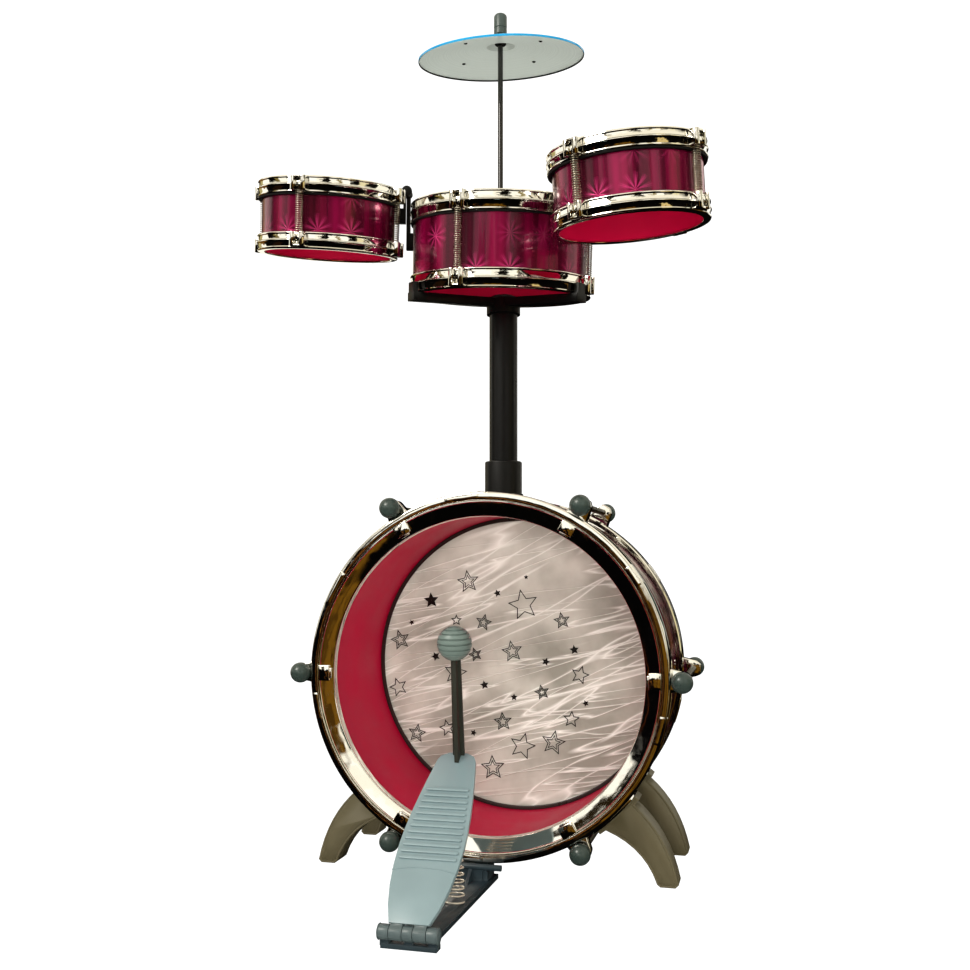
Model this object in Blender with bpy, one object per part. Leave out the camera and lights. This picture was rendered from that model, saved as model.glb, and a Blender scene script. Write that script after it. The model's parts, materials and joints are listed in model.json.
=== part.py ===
"""A small five-piece drum kit, standing on its four feet.

The bass drum lies with its axis along Y and its open, pedal side towards -Y. A pole on top of it
carries a three-armed spider, which holds the centre tom. A smaller tom hangs on a tilting bracket
on either side of the centre tom, and a thin rod at the back holds the cymbal. The root empty puts
the middle of the kit's footprint at the origin, on the floor. Lengths are in metres, angles in
degrees until they are used.
"""
import math

import bmesh
import bpy
from mathutils import Matrix, Vector

# ---- clearances ------------------------------------------------------------------------------
GAP = 0.0003            # between pieces that rest on each other
RUNNING = 0.0004        # radial, between a turning piece and its bore

# ---- bass drum -------------------------------------------------------------------------------
BASS_RADIUS = 0.170     # outside of the hoops
BASS_LENGTH = 0.1575    # front hoop face to rear hoop face
BASS_FRONT = -0.080     # Y of the front hoop face
FLOOR_GAP = 0.019       # floor to the underside of the hoops
HOOP_DEPTH = 0.026
HOOP_WALL = 0.004
HOOP_STEP = 0.0136      # from the outside of a hoop in to the outside of the shell
RIM_WIDTH = 0.0224      # the flat ring on a hoop's face
RIM_SINK = 0.0030       # how much deeper its inner edge lies
RIM_THICKNESS = 0.0030
RIM_BEAD = 0.0075       # width of the raised outer edge
RIM_CHAMFER = 0.0022    # on the hoop's outer corner
RIM_GROOVE = 0.0010     # width of the slope inside the raised edge
GROOVE_SINK = 0.0015    # how far that slope drops
LIP_WALL = 0.0022
FRONT_LIP = 0.0060      # how far the front rim's inner edge reaches into the drum
SHELL_WALL = 0.0035
HEAD_THICKNESS = 0.0005
ROD_ANGLES = (0, 60, 120, 180, 240, 300)
ROD_OFFSET = 0.0101     # tension rod axis outside the hoop
ROD_RADIUS = 0.003
KNOB_RADIUS = 0.0097
KNOB_NECK = 0.0082
EAR_DEPTH = 0.011
EAR_ROOT = 0.022
EAR_TIP = 0.014
EAR_RISE = 0.0175
EAR_SETBACK = 0.0100    # hoop face to the ear's front
CLAW_WIDTH = 0.0146
CLAW_HEIGHT = 0.011
CLAW_RISE = 0.0018
CLAW_INSET = 0.0004     # raised edge to the claw

# ---- legs ------------------------------------------------------------------------------------
LEG_UPPER_ANGLE = -38.5
LEG_LOWER_ANGLE = -54.5
LEG_THICKNESS = 0.026
LEG_REACH = 0.040       # root to foot, sideways
LEG_FOOT = 0.0165
LEG_FLANGE = 0.005
LEG_INSET = 2.2         # degrees that the horn starts in from the flange's ends
LEG_SETBACK = 0.030     # hoop face to the front of a front leg
REAR_LEG_SETBACK = 0.0125   # front of the rear hoop's pad to the front of a rear leg
PAD_RISE = 0.0023
PAD_START = 0.012       # hoop face to the front of a front pad
FOOT_CHAMFER = 0.0030
OUTER_BEND = (0.0095, 0.65)     # how far in from the foot, and how far down, the curve bends
INNER_BEND = (0.014, 0.72)

# ---- pole and spider -------------------------------------------------------------------------
POLE_RADIUS = 0.0138
POLE_WALL = 0.0018
SOCKET_WALL = 0.0044    # from the outside of the pole
SOCKET_HEIGHT = 0.048   # above the top of the shell
SADDLE_DEPTH = 0.010    # how far the socket's underside wraps the shell
SOCKET_DEPTH = 0.030
POLE_LENGTH = 0.184
HUB_WALL = 0.0027       # from the outside of the pole
HUB_HEIGHT = 0.019
HUB_DOME = 0.005
HUB_DEPTH = 0.010
ARM_ANGLES = (221, 338)     # the third arm points at the cymbal rod
ARM_WIDTH = 0.016
ARM_THICKNESS = 0.008
ARM_ROOT = 0.0105       # where an arm starts, inside the hub
CLIP_WIDTH = 0.012
CLIP_HEIGHT = 0.009
CLIP_WALL = 0.005

# ---- toms ------------------------------------------------------------------------------------
CENTRE_HOOP = 0.089     # outside radius of the centre tom's hoops
SIDE_HOOP = 0.0686
CENTRE_HEIGHT = 0.0866
SIDE_HEIGHT = 0.0649
CENTRE_BAND = 0.0183    # height of one hoop
SIDE_BAND = 0.0153
CENTRE_STEP = 0.0030    # from the outside of a hoop in to the outside of the shell
SIDE_STEP = 0.0046
CENTRE_LIFT = 0.0158    # pole top to the centre tom's lower edge
TOM_WALL = 0.0022
TOM_LIP = 0.0030        # how far a hoop reaches in over the shell's end
TOM_LIP_THICKNESS = 0.0018
TOM_BEAD = 0.0010       # half the height of the bead round a hoop's middle
BEAD_RISE = 0.0006
SPRING_GAP = 0.0006     # shell to a spring
LUG_WIDTH = 0.0150
LUG_RISE = 0.0072
SPRING_RADIUS = 0.0042
CENTRE_TILT = (7.0, 3.0)
LEFT_TILT = (9.4, 5.6)
RIGHT_TILT = (6.6, -2.9)
CENTRE_LUGS = 258.8
LEFT_LUGS = 270.8
RIGHT_LUGS = 239.8
CENTRE_OFFSET = (-0.0023, -0.0042)
LEFT_BEARING = 195.6    # direction of a side tom from the centre tom
RIGHT_BEARING = 323.2
LEFT_SPACING = 0.0111   # hoop to hoop
RIGHT_SPACING = 0.0189
LEFT_RISE = 0.0408      # a side tom's lower edge above the centre tom's
RIGHT_RISE = 0.0259

# ---- side brackets ---------------------------------------------------------------------------
PLATE_THICKNESS = 0.0036
PLATE_STANDOFF = 0.0010
FOOT_REACH = 0.003      # how far a pad reaches in past the shell's surface, before it is cut to it
PAD_REACH = 0.006
PIVOT_OUTSET = 0.0006   # tilt axis outside the plate's middle
TONGUE_THICKNESS = 0.0022
BARREL_RADIUS = 0.0042
BARREL_LENGTH = 0.0075
LEFT_PIVOT = 0.013      # tilt axis above the centre tom's top edge
RIGHT_PIVOT = 0.0075
PIN_RADIUS = 0.0020
THUMB_RADIUS = 0.0050
THUMB_LENGTH = 0.0050
LEFT_BRACKET_SHIFT = 0.0
RIGHT_BRACKET_SHIFT = 0.009
FOOT_PAD = (0.046, 0.062)   # heights above the centre tom's lower edge
TOM_PAD = (0.070, 0.084)

# ---- cymbal ----------------------------------------------------------------------------------
CYMBAL_RADIUS = 0.090
CYMBAL_BOW = 0.012
CYMBAL_SHEET = 0.0009
BELL_RADIUS = 0.0155
BELL_HEIGHT = 0.009
CYMBAL_HOLE = 0.0055
CYMBAL_TILT = (10.7, 0.4)
STAND_X = -0.0285
STAND_Y = 0.102
STAND_RADIUS = 0.0028
STAND_SOCKET_RADIUS = 0.0068
STAND_SOCKET_HEIGHT = 0.034
STAND_SOCKET_DROP = 0.006   # socket's underside below the arm
STAND_SOCKET_FLOOR = 0.006
STAND_LENGTH = 0.318
SLEEVE_RADIUS = 0.0062
SLEEVE_HEIGHT = 0.006
SLEEVE_NECK = 0.0042
SLEEVE_GRIP = 0.0060    # how far the cap reaches down over the rod's end
SEAT_RISE = 0.0015      # sleeve shoulder to the tilted cymbal's hole
CAP_RADIUS = 0.007
CAP_HEIGHT = 0.0235
CAP_CLEARANCE = 0.0022

# ---- pedal -----------------------------------------------------------------------------------
PEDAL_X = -0.0100
HINGE_Y = -0.259
HINGE_Z = 0.0125
HINGE_LENGTH = 0.0475
KNUCKLE_RADIUS = 0.0060
HINGE_PIN_RADIUS = 0.0024
KNUCKLE_GAP = 0.0005
OUTER_KNUCKLE = 0.0085  # length of the knuckle at either end
MIDDLE_KNUCKLE = 0.0080
PEDAL_ANGLE = 38.0
PEDAL_LENGTH = 0.178
PEDAL_THICKNESS = 0.0040
PEDAL_FACE = 0.0068     # pedal's top face above the hinge axis
PEDAL_HEEL_HALF = 0.016
PEDAL_BROAD_HALF = 0.0274
PEDAL_BROAD_AT = 0.078
PEDAL_TIP_HALF = 0.0172
HEEL_BEND = 0.030       # how far along the heel's curve bends
BASE_THICKNESS = 0.0042
BASE_HALF = 0.0155
BASE_FAR_HALF = 0.0195  # under the hoop
REST_DEPTH = 0.022      # how far the base runs in under the hoop
CHEEK_FRONT = -0.0010   # a cheek's front, past the hinge axis
CHEEK_BACK = 0.0062
CHEEK_INSET = 0.0006
BRIDGE_HALF = 0.0225
CLAMP_HALF = 0.0285     # half the length of the bar in front of the hoop
CLAMP_RADIUS = 0.0028
CLAMP_DROP = 0.0025     # underside of the hoop to the bar's axis
POST_HALF = 0.011
GUSSET_LENGTH = 0.020
GUSSET_HALF = 0.0016
COIL_SHIFT = 0.0030     # coil's axis to the right of the pedal's
COIL_Y = -0.152
COIL_FOOT_RADIUS = 0.0110
COIL_TOP_RADIUS = 0.0070
COIL_WIRE = 0.0016
BEATER_LENGTH = 0.0939
BEATER_LEAN = 6.4
BEATER_FOOT_HALF = 0.0054
BEATER_TOP_HALF = 0.0044
BEATER_WEB_HALF = 0.0020
BEATER_AT = 0.1715      # along the pedal
BEATER_SHIFT = 0.0008   # to the right of the pedal's middle
FLANGE_SHARE = 0.35     # front of the stem's rear flange, over its half width
FLANGE_BACK = 0.8
TIP_ROUND = 0.55        # the toe's length over its half width
HEEL_START = 0.004      # where the pedal's outline starts, past the hinge axis
KNUCKLE_CUT = 0.0006    # radial clearance round the base's knuckles
BALL_RADIUS = 0.0152
BALL_GRIP = 0.008       # how deep the rod sits in the ball

# ---- sizes that follow -----------------------------------------------------------------------
AXIS_HEIGHT = BASS_RADIUS + FLOOR_GAP
BASS_SHELL = BASS_RADIUS - HOOP_STEP
RIM_INNER = BASS_RADIUS - RIM_WIDTH
ROD_CIRCLE = BASS_RADIUS + ROD_OFFSET
SOCKET_RADIUS = POLE_RADIUS + SOCKET_WALL
HUB_RADIUS = POLE_RADIUS + HUB_WALL
POLE_FOOT = AXIS_HEIGHT + BASS_SHELL + SOCKET_HEIGHT - SOCKET_DEPTH + GAP
POLE_TOP = POLE_FOOT + POLE_LENGTH
CENTRE_EDGE = POLE_TOP + CENTRE_LIFT - HUB_DEPTH
RING_SEGMENTS = 60
TOM_SEGMENTS = 36
SMALL_SEGMENTS = 16

COLOURS = {
    "metallic_crimson_film": ((0.30, 0.004, 0.06), 0.28, 0.6),
    "chrome_plated_plastic": ((0.80, 0.79, 0.76), 0.08, 1.0),
    "clear_wrinkled_film": ((0.62, 0.56, 0.49), 0.35, 0.0),
    "white_drum_film": ((0.85, 0.85, 0.83), 0.4, 0.0),
    "grey_green_plastic": ((0.07, 0.10, 0.095), 0.3, 0.0),
    "olive_grey_plastic": ((0.19, 0.17, 0.12), 0.5, 0.0),
    "black_plastic": ((0.008, 0.008, 0.009), 0.35, 0.0),
    "black_painted_steel": ((0.012, 0.011, 0.010), 0.3, 0.3),
    "spring_steel": ((0.55, 0.55, 0.52), 0.25, 1.0),
    "silver_cymbal_sheet": ((0.60, 0.65, 0.64), 0.3, 0.7),
    "teal_grey_plastic": ((0.38, 0.47, 0.46), 0.45, 0.0),
    "blue_grey_plastic": ((0.07, 0.10, 0.12), 0.45, 0.0),
}


# ---- small tools -----------------------------------------------------------------------------
def material(name):
    """The Principled material of that name, made once."""
    made = bpy.data.materials.get(name)
    if made:
        return made
    colour, roughness, metallic = COLOURS[name]
    made = bpy.data.materials.new(name)
    made.use_nodes = True
    shader = made.node_tree.nodes["Principled BSDF"]
    shader.inputs["Base Color"].default_value = (*colour, 1.0)
    shader.inputs["Roughness"].default_value = roughness
    shader.inputs["Metallic"].default_value = metallic
    return made


def turn(angle, axis="Z"):
    """Rotation by an angle in degrees."""
    return Matrix.Rotation(math.radians(angle), 4, axis)


def shift(x=0.0, y=0.0, z=0.0):
    return Matrix.Translation((x, y, z))


def polar(radius, angle):
    """A point of a circle, as (x, y)."""
    return radius * math.cos(math.radians(angle)), radius * math.sin(math.radians(angle))


def empty(name, place, parent=None):
    """A pivot: its parent's children are placed in its frame."""
    pivot = bpy.data.objects.new(name, None)
    bpy.context.collection.objects.link(pivot)
    pivot.parent = parent
    pivot.matrix_local = place
    return pivot


def finished(name, shape, finish, parent, place=None, smooth=35.0):
    """Link the shape as one named object in its parent's frame."""
    bmesh.ops.recalc_face_normals(shape, faces=shape.faces)
    mesh = bpy.data.meshes.new(name)
    shape.to_mesh(mesh)
    shape.free()
    mesh.materials.append(material(finish))
    mesh.shade_smooth()
    mesh.set_sharp_from_angle(angle=math.radians(smooth))
    made = bpy.data.objects.new(name, mesh)
    bpy.context.collection.objects.link(made)
    made.parent = parent
    if place is not None:
        made.matrix_local = place
    return made


def turned(profile, segments, closed=True):
    """Spin a profile of (radius, height) about Z: a ring, or a solid when its ends lie on the axis."""
    shape = bmesh.new()
    points = [shape.verts.new((radius, 0.0, height)) for radius, height in profile]
    pairs = list(zip(points, points[1:]))
    if closed:
        pairs.append((points[-1], points[0]))
    edges = [shape.edges.new(pair) for pair in pairs]
    bmesh.ops.spin(shape, geom=points + edges, cent=(0, 0, 0), axis=(0, 0, 1),
                   angle=math.tau, steps=segments, use_merge=True)
    bmesh.ops.remove_doubles(shape, verts=shape.verts, dist=1e-6)
    bmesh.ops.recalc_face_normals(shape, faces=shape.faces)
    return shape


def cylinder(radius, bottom, top, segments=SMALL_SEGMENTS):
    return turned([(0, bottom), (radius, bottom), (radius, top), (0, top)], segments, closed=False)


def prism(outline, bottom, top):
    """Extrude a flat outline of (x, y) points along Z."""
    shape = bmesh.new()
    face = shape.faces.new([shape.verts.new((x, y, bottom)) for x, y in outline])
    grown = bmesh.ops.extrude_face_region(shape, geom=[face])
    moved = [item for item in grown["geom"] if isinstance(item, bmesh.types.BMVert)]
    bmesh.ops.translate(shape, verts=moved, vec=(0, 0, top - bottom))
    bmesh.ops.recalc_face_normals(shape, faces=shape.faces)
    return shape


def block(low, high):
    """A box between two opposite corners."""
    return prism([(low[0], low[1]), (high[0], low[1]), (high[0], high[1]), (low[0], high[1])],
                 low[2], high[2])


def placed(shape, place):
    bmesh.ops.transform(shape, matrix=place, verts=shape.verts)
    return shape


def combined(base, tools, operation="UNION"):
    """Join the tools to the base one by one, or cut them out of it."""
    holders = []
    for index, shape in enumerate([base, *tools]):
        mesh = bpy.data.meshes.new(f"shape_{index}")
        bmesh.ops.recalc_face_normals(shape, faces=shape.faces)
        shape.to_mesh(mesh)
        shape.free()
        holder = bpy.data.objects.new(f"shape_{index}", mesh)
        bpy.context.collection.objects.link(holder)
        holders.append(holder)
    for holder in holders[1:]:
        step = holders[0].modifiers.new("step", "BOOLEAN")
        step.operation = operation
        step.solver = "EXACT"
        step.object = holder
    ready = holders[0].evaluated_get(bpy.context.evaluated_depsgraph_get())
    result = bmesh.new()
    result.from_mesh(ready.to_mesh())
    ready.to_mesh_clear()
    for holder in holders:
        mesh = holder.data
        bpy.data.objects.remove(holder)
        bpy.data.meshes.remove(mesh)
    bmesh.ops.remove_doubles(result, verts=result.verts, dist=1e-6)
    bmesh.ops.dissolve_limit(result, angle_limit=math.radians(0.1), verts=result.verts,
                             edges=result.edges)
    return result


def arc(radius, start, end, steps):
    """Points of a circle from one angle to another, both included."""
    return [polar(radius, start + (end - start) * step / steps) for step in range(steps + 1)]


def bow(start, bend, end, steps):
    """Points of a quadratic curve."""
    points = []
    for step in range(steps + 1):
        t = step / steps
        points.append(tuple((1 - t) ** 2 * a + 2 * t * (1 - t) * b + t * t * c
                            for a, b, c in zip(start, bend, end)))
    return points


def sector(inner, outer, start, end, bottom, top, steps=4):
    """A block bent round the Z axis."""
    return prism(arc(outer, start, end, steps) + arc(inner, end, start, steps), bottom, top)


# ---- bass drum -------------------------------------------------------------------------------
# In the drum's frame Z runs to the rear and Y runs down, so an angle seen from the front, counted
# up from +X, turns the other way.
def bass_hoop_profile(lip):
    """Section of a bass hoop as (radius, depth behind its face)."""
    inner_wall = BASS_RADIUS - HOOP_WALL
    return [
        (BASS_RADIUS, HOOP_DEPTH),
        (BASS_RADIUS, RIM_CHAMFER),
        (BASS_RADIUS - RIM_CHAMFER, 0.0),
        (BASS_RADIUS - RIM_BEAD, 0.0),
        (BASS_RADIUS - RIM_BEAD - RIM_GROOVE, GROOVE_SINK),
        (RIM_INNER, RIM_SINK + GROOVE_SINK),
        (RIM_INNER, RIM_SINK + RIM_THICKNESS + lip),
        (RIM_INNER + LIP_WALL, RIM_SINK + RIM_THICKNESS + lip),
        (RIM_INNER + LIP_WALL + 0.0004, RIM_SINK + RIM_THICKNESS),
        (inner_wall, RIM_SINK + RIM_THICKNESS - GROOVE_SINK),
        (inner_wall, HOOP_DEPTH),
    ]


def ear():
    """One trapezoid ear at angle 0, with the claw that folds over the hoop's face."""
    root = BASS_RADIUS - HOOP_WALL * 0.6
    tip = BASS_RADIUS + EAR_RISE
    plate = prism([(root, -EAR_ROOT / 2), (tip, -EAR_TIP / 2), (tip, EAR_TIP / 2),
                   (root, EAR_ROOT / 2)], EAR_SETBACK, EAR_SETBACK + EAR_DEPTH)
    claw_top = BASS_RADIUS - RIM_BEAD - CLAW_INSET
    claw = block((claw_top - CLAW_HEIGHT, -CLAW_WIDTH / 2, GROOVE_SINK - CLAW_RISE),
                 (claw_top, CLAW_WIDTH / 2, RIM_SINK + RIM_THICKNESS - GROOVE_SINK))
    return [plate, claw]


def bass_hoop(name, lip, pad_start, pad_end, facing, drum, place):
    """A hoop with its six ears and two leg pads; the pads lie at depths pad_start to pad_end."""
    added = []
    bores = []
    for angle in ROD_ANGLES:
        for shape in ear():
            added.append(placed(shape, turn(-angle)))
        bore = cylinder(ROD_RADIUS + RUNNING, EAR_SETBACK - 0.001, EAR_SETBACK + EAR_DEPTH + 0.001, 12)
        bores.append(placed(bore, turn(-angle) @ shift(x=ROD_CIRCLE)))
    for side in (0, 1):
        start, end = -LEG_UPPER_ANGLE, -LEG_LOWER_ANGLE
        if side:
            start, end = 180 - start, 180 - end
        if facing < 0:
            start, end = -start, -end
        added.append(sector(BASS_RADIUS - HOOP_WALL * 0.9, BASS_RADIUS + PAD_RISE, start, end,
                            pad_start, pad_end))
    shape = combined(turned(bass_hoop_profile(lip), RING_SEGMENTS), added)
    shape = combined(shape, bores, "DIFFERENCE")
    return finished(name, shape, "chrome_plated_plastic", drum, place)


def tension_rod(name, drum, angle):
    """A threaded rod through both ears, with a ball knob at each end."""
    ear_face = EAR_SETBACK - GAP
    far = BASS_LENGTH
    profile = [(0.0, -KNOB_RADIUS)]
    profile += [polar(KNOB_RADIUS, latitude) for latitude in (-60, -30, 0)]
    profile.append((KNOB_NECK, ear_face))
    profile.append((ROD_RADIUS, ear_face))
    mirrored = [(radius, far - depth) for radius, depth in reversed(profile)]
    shape = turned(profile + mirrored, 10, closed=False)
    # the rod's own origin lies on its axis
    across, down = polar(ROD_CIRCLE, -angle)
    return finished(name, shape, "grey_green_plastic", drum, shift(across, down, 0.0))


def leg(name, drum, side, start):
    """A curved horn from the hoop's pad down to the floor; start is the depth of its front face."""
    inner = BASS_RADIUS + PAD_RISE + GAP
    outer = inner + LEG_FLANGE
    heel = polar(outer, LEG_UPPER_ANGLE - LEG_INSET)
    toe = polar(outer, LEG_LOWER_ANGLE + LEG_INSET)
    floor = -AXIS_HEIGHT
    foot_out = heel[0] + LEG_REACH
    foot_in = foot_out - LEG_FOOT
    upper = bow(heel, (foot_out - OUTER_BEND[0], floor + (heel[1] - floor) * OUTER_BEND[1]),
                (foot_out, floor + FOOT_CHAMFER), 8)
    lower = bow((foot_in - FOOT_CHAMFER, floor + FOOT_CHAMFER * 0.8),
                (foot_in - INNER_BEND[0], floor + (toe[1] - floor) * INNER_BEND[1]), toe, 7)
    outline = arc(inner, LEG_LOWER_ANGLE, LEG_UPPER_ANGLE, 6)
    outline.append(polar(outer, LEG_UPPER_ANGLE))
    outline += upper
    outline += [(foot_out - FOOT_CHAMFER, floor), (foot_in, floor)]
    outline += lower
    outline.append(polar(outer, LEG_LOWER_ANGLE))
    shape = prism([(side * x, -z) for x, z in outline], start, start + LEG_THICKNESS)
    return finished(name, shape, "olive_grey_plastic", drum)


def bass_drum(root):
    drum = empty("bass_frame", shift(0, BASS_FRONT, AXIS_HEIGHT) @ turn(-90, "X"), root)
    shell_start = RIM_SINK + RIM_THICKNESS + GAP
    shell_end = BASS_LENGTH - RIM_SINK - RIM_THICKNESS - HEAD_THICKNESS - 2 * GAP
    shell = turned([(BASS_SHELL, shell_start), (BASS_SHELL, shell_end),
                    (BASS_SHELL - SHELL_WALL, shell_end), (BASS_SHELL - SHELL_WALL, shell_start)],
                   RING_SEGMENTS)
    finished("bass_shell", shell, "metallic_crimson_film", drum)
    head = cylinder(BASS_RADIUS - HOOP_WALL - GAP, shell_end + GAP,
                    shell_end + GAP + HEAD_THICKNESS, RING_SEGMENTS)
    finished("bass_head", head, "clear_wrinkled_film", drum)
    front_pad = LEG_SETBACK + LEG_THICKNESS
    bass_hoop("bass_front_hoop", FRONT_LIP, PAD_START, front_pad, 1, drum, None)
    behind = shift(z=BASS_LENGTH) @ turn(180, "X")
    rear_pad = HOOP_DEPTH - REAR_LEG_SETBACK - LEG_THICKNESS
    bass_hoop("bass_rear_hoop", 0.0, rear_pad, HOOP_DEPTH, -1, drum, behind)
    for number, angle in enumerate(ROD_ANGLES, start=1):
        tension_rod(f"tension_rod_{number}", drum, angle)
    rear_start = BASS_LENGTH - HOOP_DEPTH + REAR_LEG_SETBACK
    for label, side in (("left", -1), ("right", 1)):
        leg(f"front_{label}_leg", drum, side, LEG_SETBACK)
        leg(f"rear_{label}_leg", drum, side, rear_start)


# ---- pole and spider -------------------------------------------------------------------------
def pole_parts(root):
    saddle = AXIS_HEIGHT + BASS_SHELL
    top = saddle + SOCKET_HEIGHT
    foot = saddle - SADDLE_DEPTH
    body = turned([(0, foot), (SOCKET_RADIUS, foot), (SOCKET_RADIUS, top),
                   (POLE_RADIUS + RUNNING, top), (POLE_RADIUS + RUNNING, top - SOCKET_DEPTH),
                   (0, top - SOCKET_DEPTH)], 32, closed=False)
    shell = placed(cylinder(BASS_SHELL + GAP, -0.05, 0.05, RING_SEGMENTS),
                   shift(z=AXIS_HEIGHT) @ turn(90, "X"))
    body = combined(body, [shell], "DIFFERENCE")
    finished("pole_socket", body, "black_plastic", root)
    swivel = empty("pole_swivel", shift(z=POLE_FOOT), root)
    tube = turned([(POLE_RADIUS, 0), (POLE_RADIUS, POLE_LENGTH),
                   (POLE_RADIUS - POLE_WALL, POLE_LENGTH), (POLE_RADIUS - POLE_WALL, 0)], 32)
    finished("pole_tube", tube, "black_plastic", swivel)
    return swivel


def spider(swivel, tom_place):
    """Hub on the pole's end with three arms that lie under the centre tom's lower hoop."""
    seat = POLE_LENGTH - HUB_DEPTH
    bore = POLE_RADIUS + RUNNING
    roof = POLE_LENGTH + GAP
    dome_root = seat + HUB_HEIGHT - HUB_DOME
    dome = [(HUB_RADIUS * 0.92, dome_root + HUB_DOME * 0.45),
            (HUB_RADIUS * 0.65, dome_root + HUB_DOME * 0.85)]
    hub = turned([(0, seat), (HUB_RADIUS, seat), (HUB_RADIUS, dome_root), *dome,
                  (0, seat + HUB_HEIGHT)], 32, closed=False)
    stand = stand_on_arm(tom_place)
    rear = tom_place.inverted() @ stand
    clip_reach = CENTRE_HOOP + GAP + CLIP_WALL
    arms = [(angle, clip_reach) for angle in ARM_ANGLES]
    arms.append((math.degrees(math.atan2(rear.y, rear.x)), rear.to_2d().length))
    added = []
    for angle, reach in arms:
        arm = block((ARM_ROOT, -ARM_WIDTH / 2, -ARM_THICKNESS - GAP), (reach, ARM_WIDTH / 2, -GAP))
        clip = block((CENTRE_HOOP + GAP, -CLIP_WIDTH / 2, -ARM_THICKNESS / 2),
                     (CENTRE_HOOP + GAP + CLIP_WALL, CLIP_WIDTH / 2, CLIP_HEIGHT))
        for shape in (arm, clip):
            added.append(placed(shape, tom_place @ turn(angle)))
    level = stand.z - STAND_SOCKET_DROP
    barrel = cylinder(STAND_SOCKET_RADIUS, level, level + STAND_SOCKET_HEIGHT)
    added.append(placed(barrel, shift(STAND_X, STAND_Y)))
    bottom = level + STAND_SOCKET_FLOOR
    bore_tool = cylinder(STAND_RADIUS + GAP, bottom, level + STAND_SOCKET_HEIGHT + 0.01)
    pole_tool = cylinder(bore, seat - 0.02, roof, 32)
    shape = combined(hub, added)
    shape = combined(shape, [placed(bore_tool, shift(STAND_X, STAND_Y)), pole_tool], "DIFFERENCE")
    finished("spider_bracket", shape, "black_plastic", swivel)
    return bottom


def stand_on_arm(tom_place):
    """Where the cymbal rod's axis crosses the underside of the rear arm, in the swivel's frame."""
    under = tom_place @ Vector((0.0, 0.0, -ARM_THICKNESS - GAP))
    normal = tom_place.col[2].to_3d()
    run = Vector((STAND_X - under.x, STAND_Y - under.y, 0.0))
    return Vector((STAND_X, STAND_Y, under.z - normal.dot(run) / normal.z))


# ---- toms ------------------------------------------------------------------------------------
def tom_hoop(radius, step, band, lug_angle):
    """A hoop standing on Z = 0, its lip at the bottom, with four lugs."""
    wall = radius - step + GAP
    lip = radius - step - TOM_LIP
    middle = band / 2
    side = radius - BEAD_RISE
    ring = turned([(lip, 0), (side, 0), (side, middle - TOM_BEAD), (radius, middle),
                   (side, middle + TOM_BEAD), (side, band),
                   (wall, band), (wall, TOM_LIP_THICKNESS), (lip, TOM_LIP_THICKNESS)], TOM_SEGMENTS)
    lugs = []
    for quarter in range(4):
        lug = prism([(radius - 0.0015, -LUG_WIDTH / 2), (radius + LUG_RISE * 0.7, -LUG_WIDTH / 2),
                     (radius + LUG_RISE, -LUG_WIDTH * 0.3), (radius + LUG_RISE, LUG_WIDTH * 0.3),
                     (radius + LUG_RISE * 0.7, LUG_WIDTH / 2), (radius - 0.0015, LUG_WIDTH / 2)],
                    0.0006, band - 0.0004)
        lugs.append(placed(lug, turn(lug_angle + 90 * quarter)))
    return combined(ring, lugs)


def tom(prefix, frame, radius, step, height, band, lug_angle):
    """A tom in its own frame: lower edge at Z = 0, head at the top, open below."""
    outer = radius - step
    seat = TOM_LIP_THICKNESS + GAP
    head_room = HEAD_THICKNESS + GAP
    shell = turned([(outer, seat), (outer, height - seat - head_room),
                    (outer - TOM_WALL, height - seat - head_room), (outer - TOM_WALL, seat)],
                   TOM_SEGMENTS)
    finished(f"{prefix}_shell", shell, "metallic_crimson_film", frame)
    finished(f"{prefix}_bottom_hoop", tom_hoop(radius, step, band, lug_angle),
             "chrome_plated_plastic", frame)
    finished(f"{prefix}_top_hoop", tom_hoop(radius, step, band, -lug_angle),
             "chrome_plated_plastic", frame, shift(z=height) @ turn(180, "X"))
    level = height - seat - HEAD_THICKNESS
    finished(f"{prefix}_head", cylinder(outer, level, level + HEAD_THICKNESS, TOM_SEGMENTS),
             "white_drum_film", frame)
    for quarter in range(4):
        spring = cylinder(SPRING_RADIUS, 0, height - 2 * band - 2 * GAP, 8)
        across, along = polar(outer + SPRING_GAP + SPRING_RADIUS, lug_angle + 90 * quarter)
        finished(f"{prefix}_spring_{quarter + 1}", spring, "spring_steel", frame,
                 shift(across, along, band + GAP))


def tilted(place, tilt):
    return place @ turn(tilt[1], "Y") @ turn(tilt[0], "X")


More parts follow.
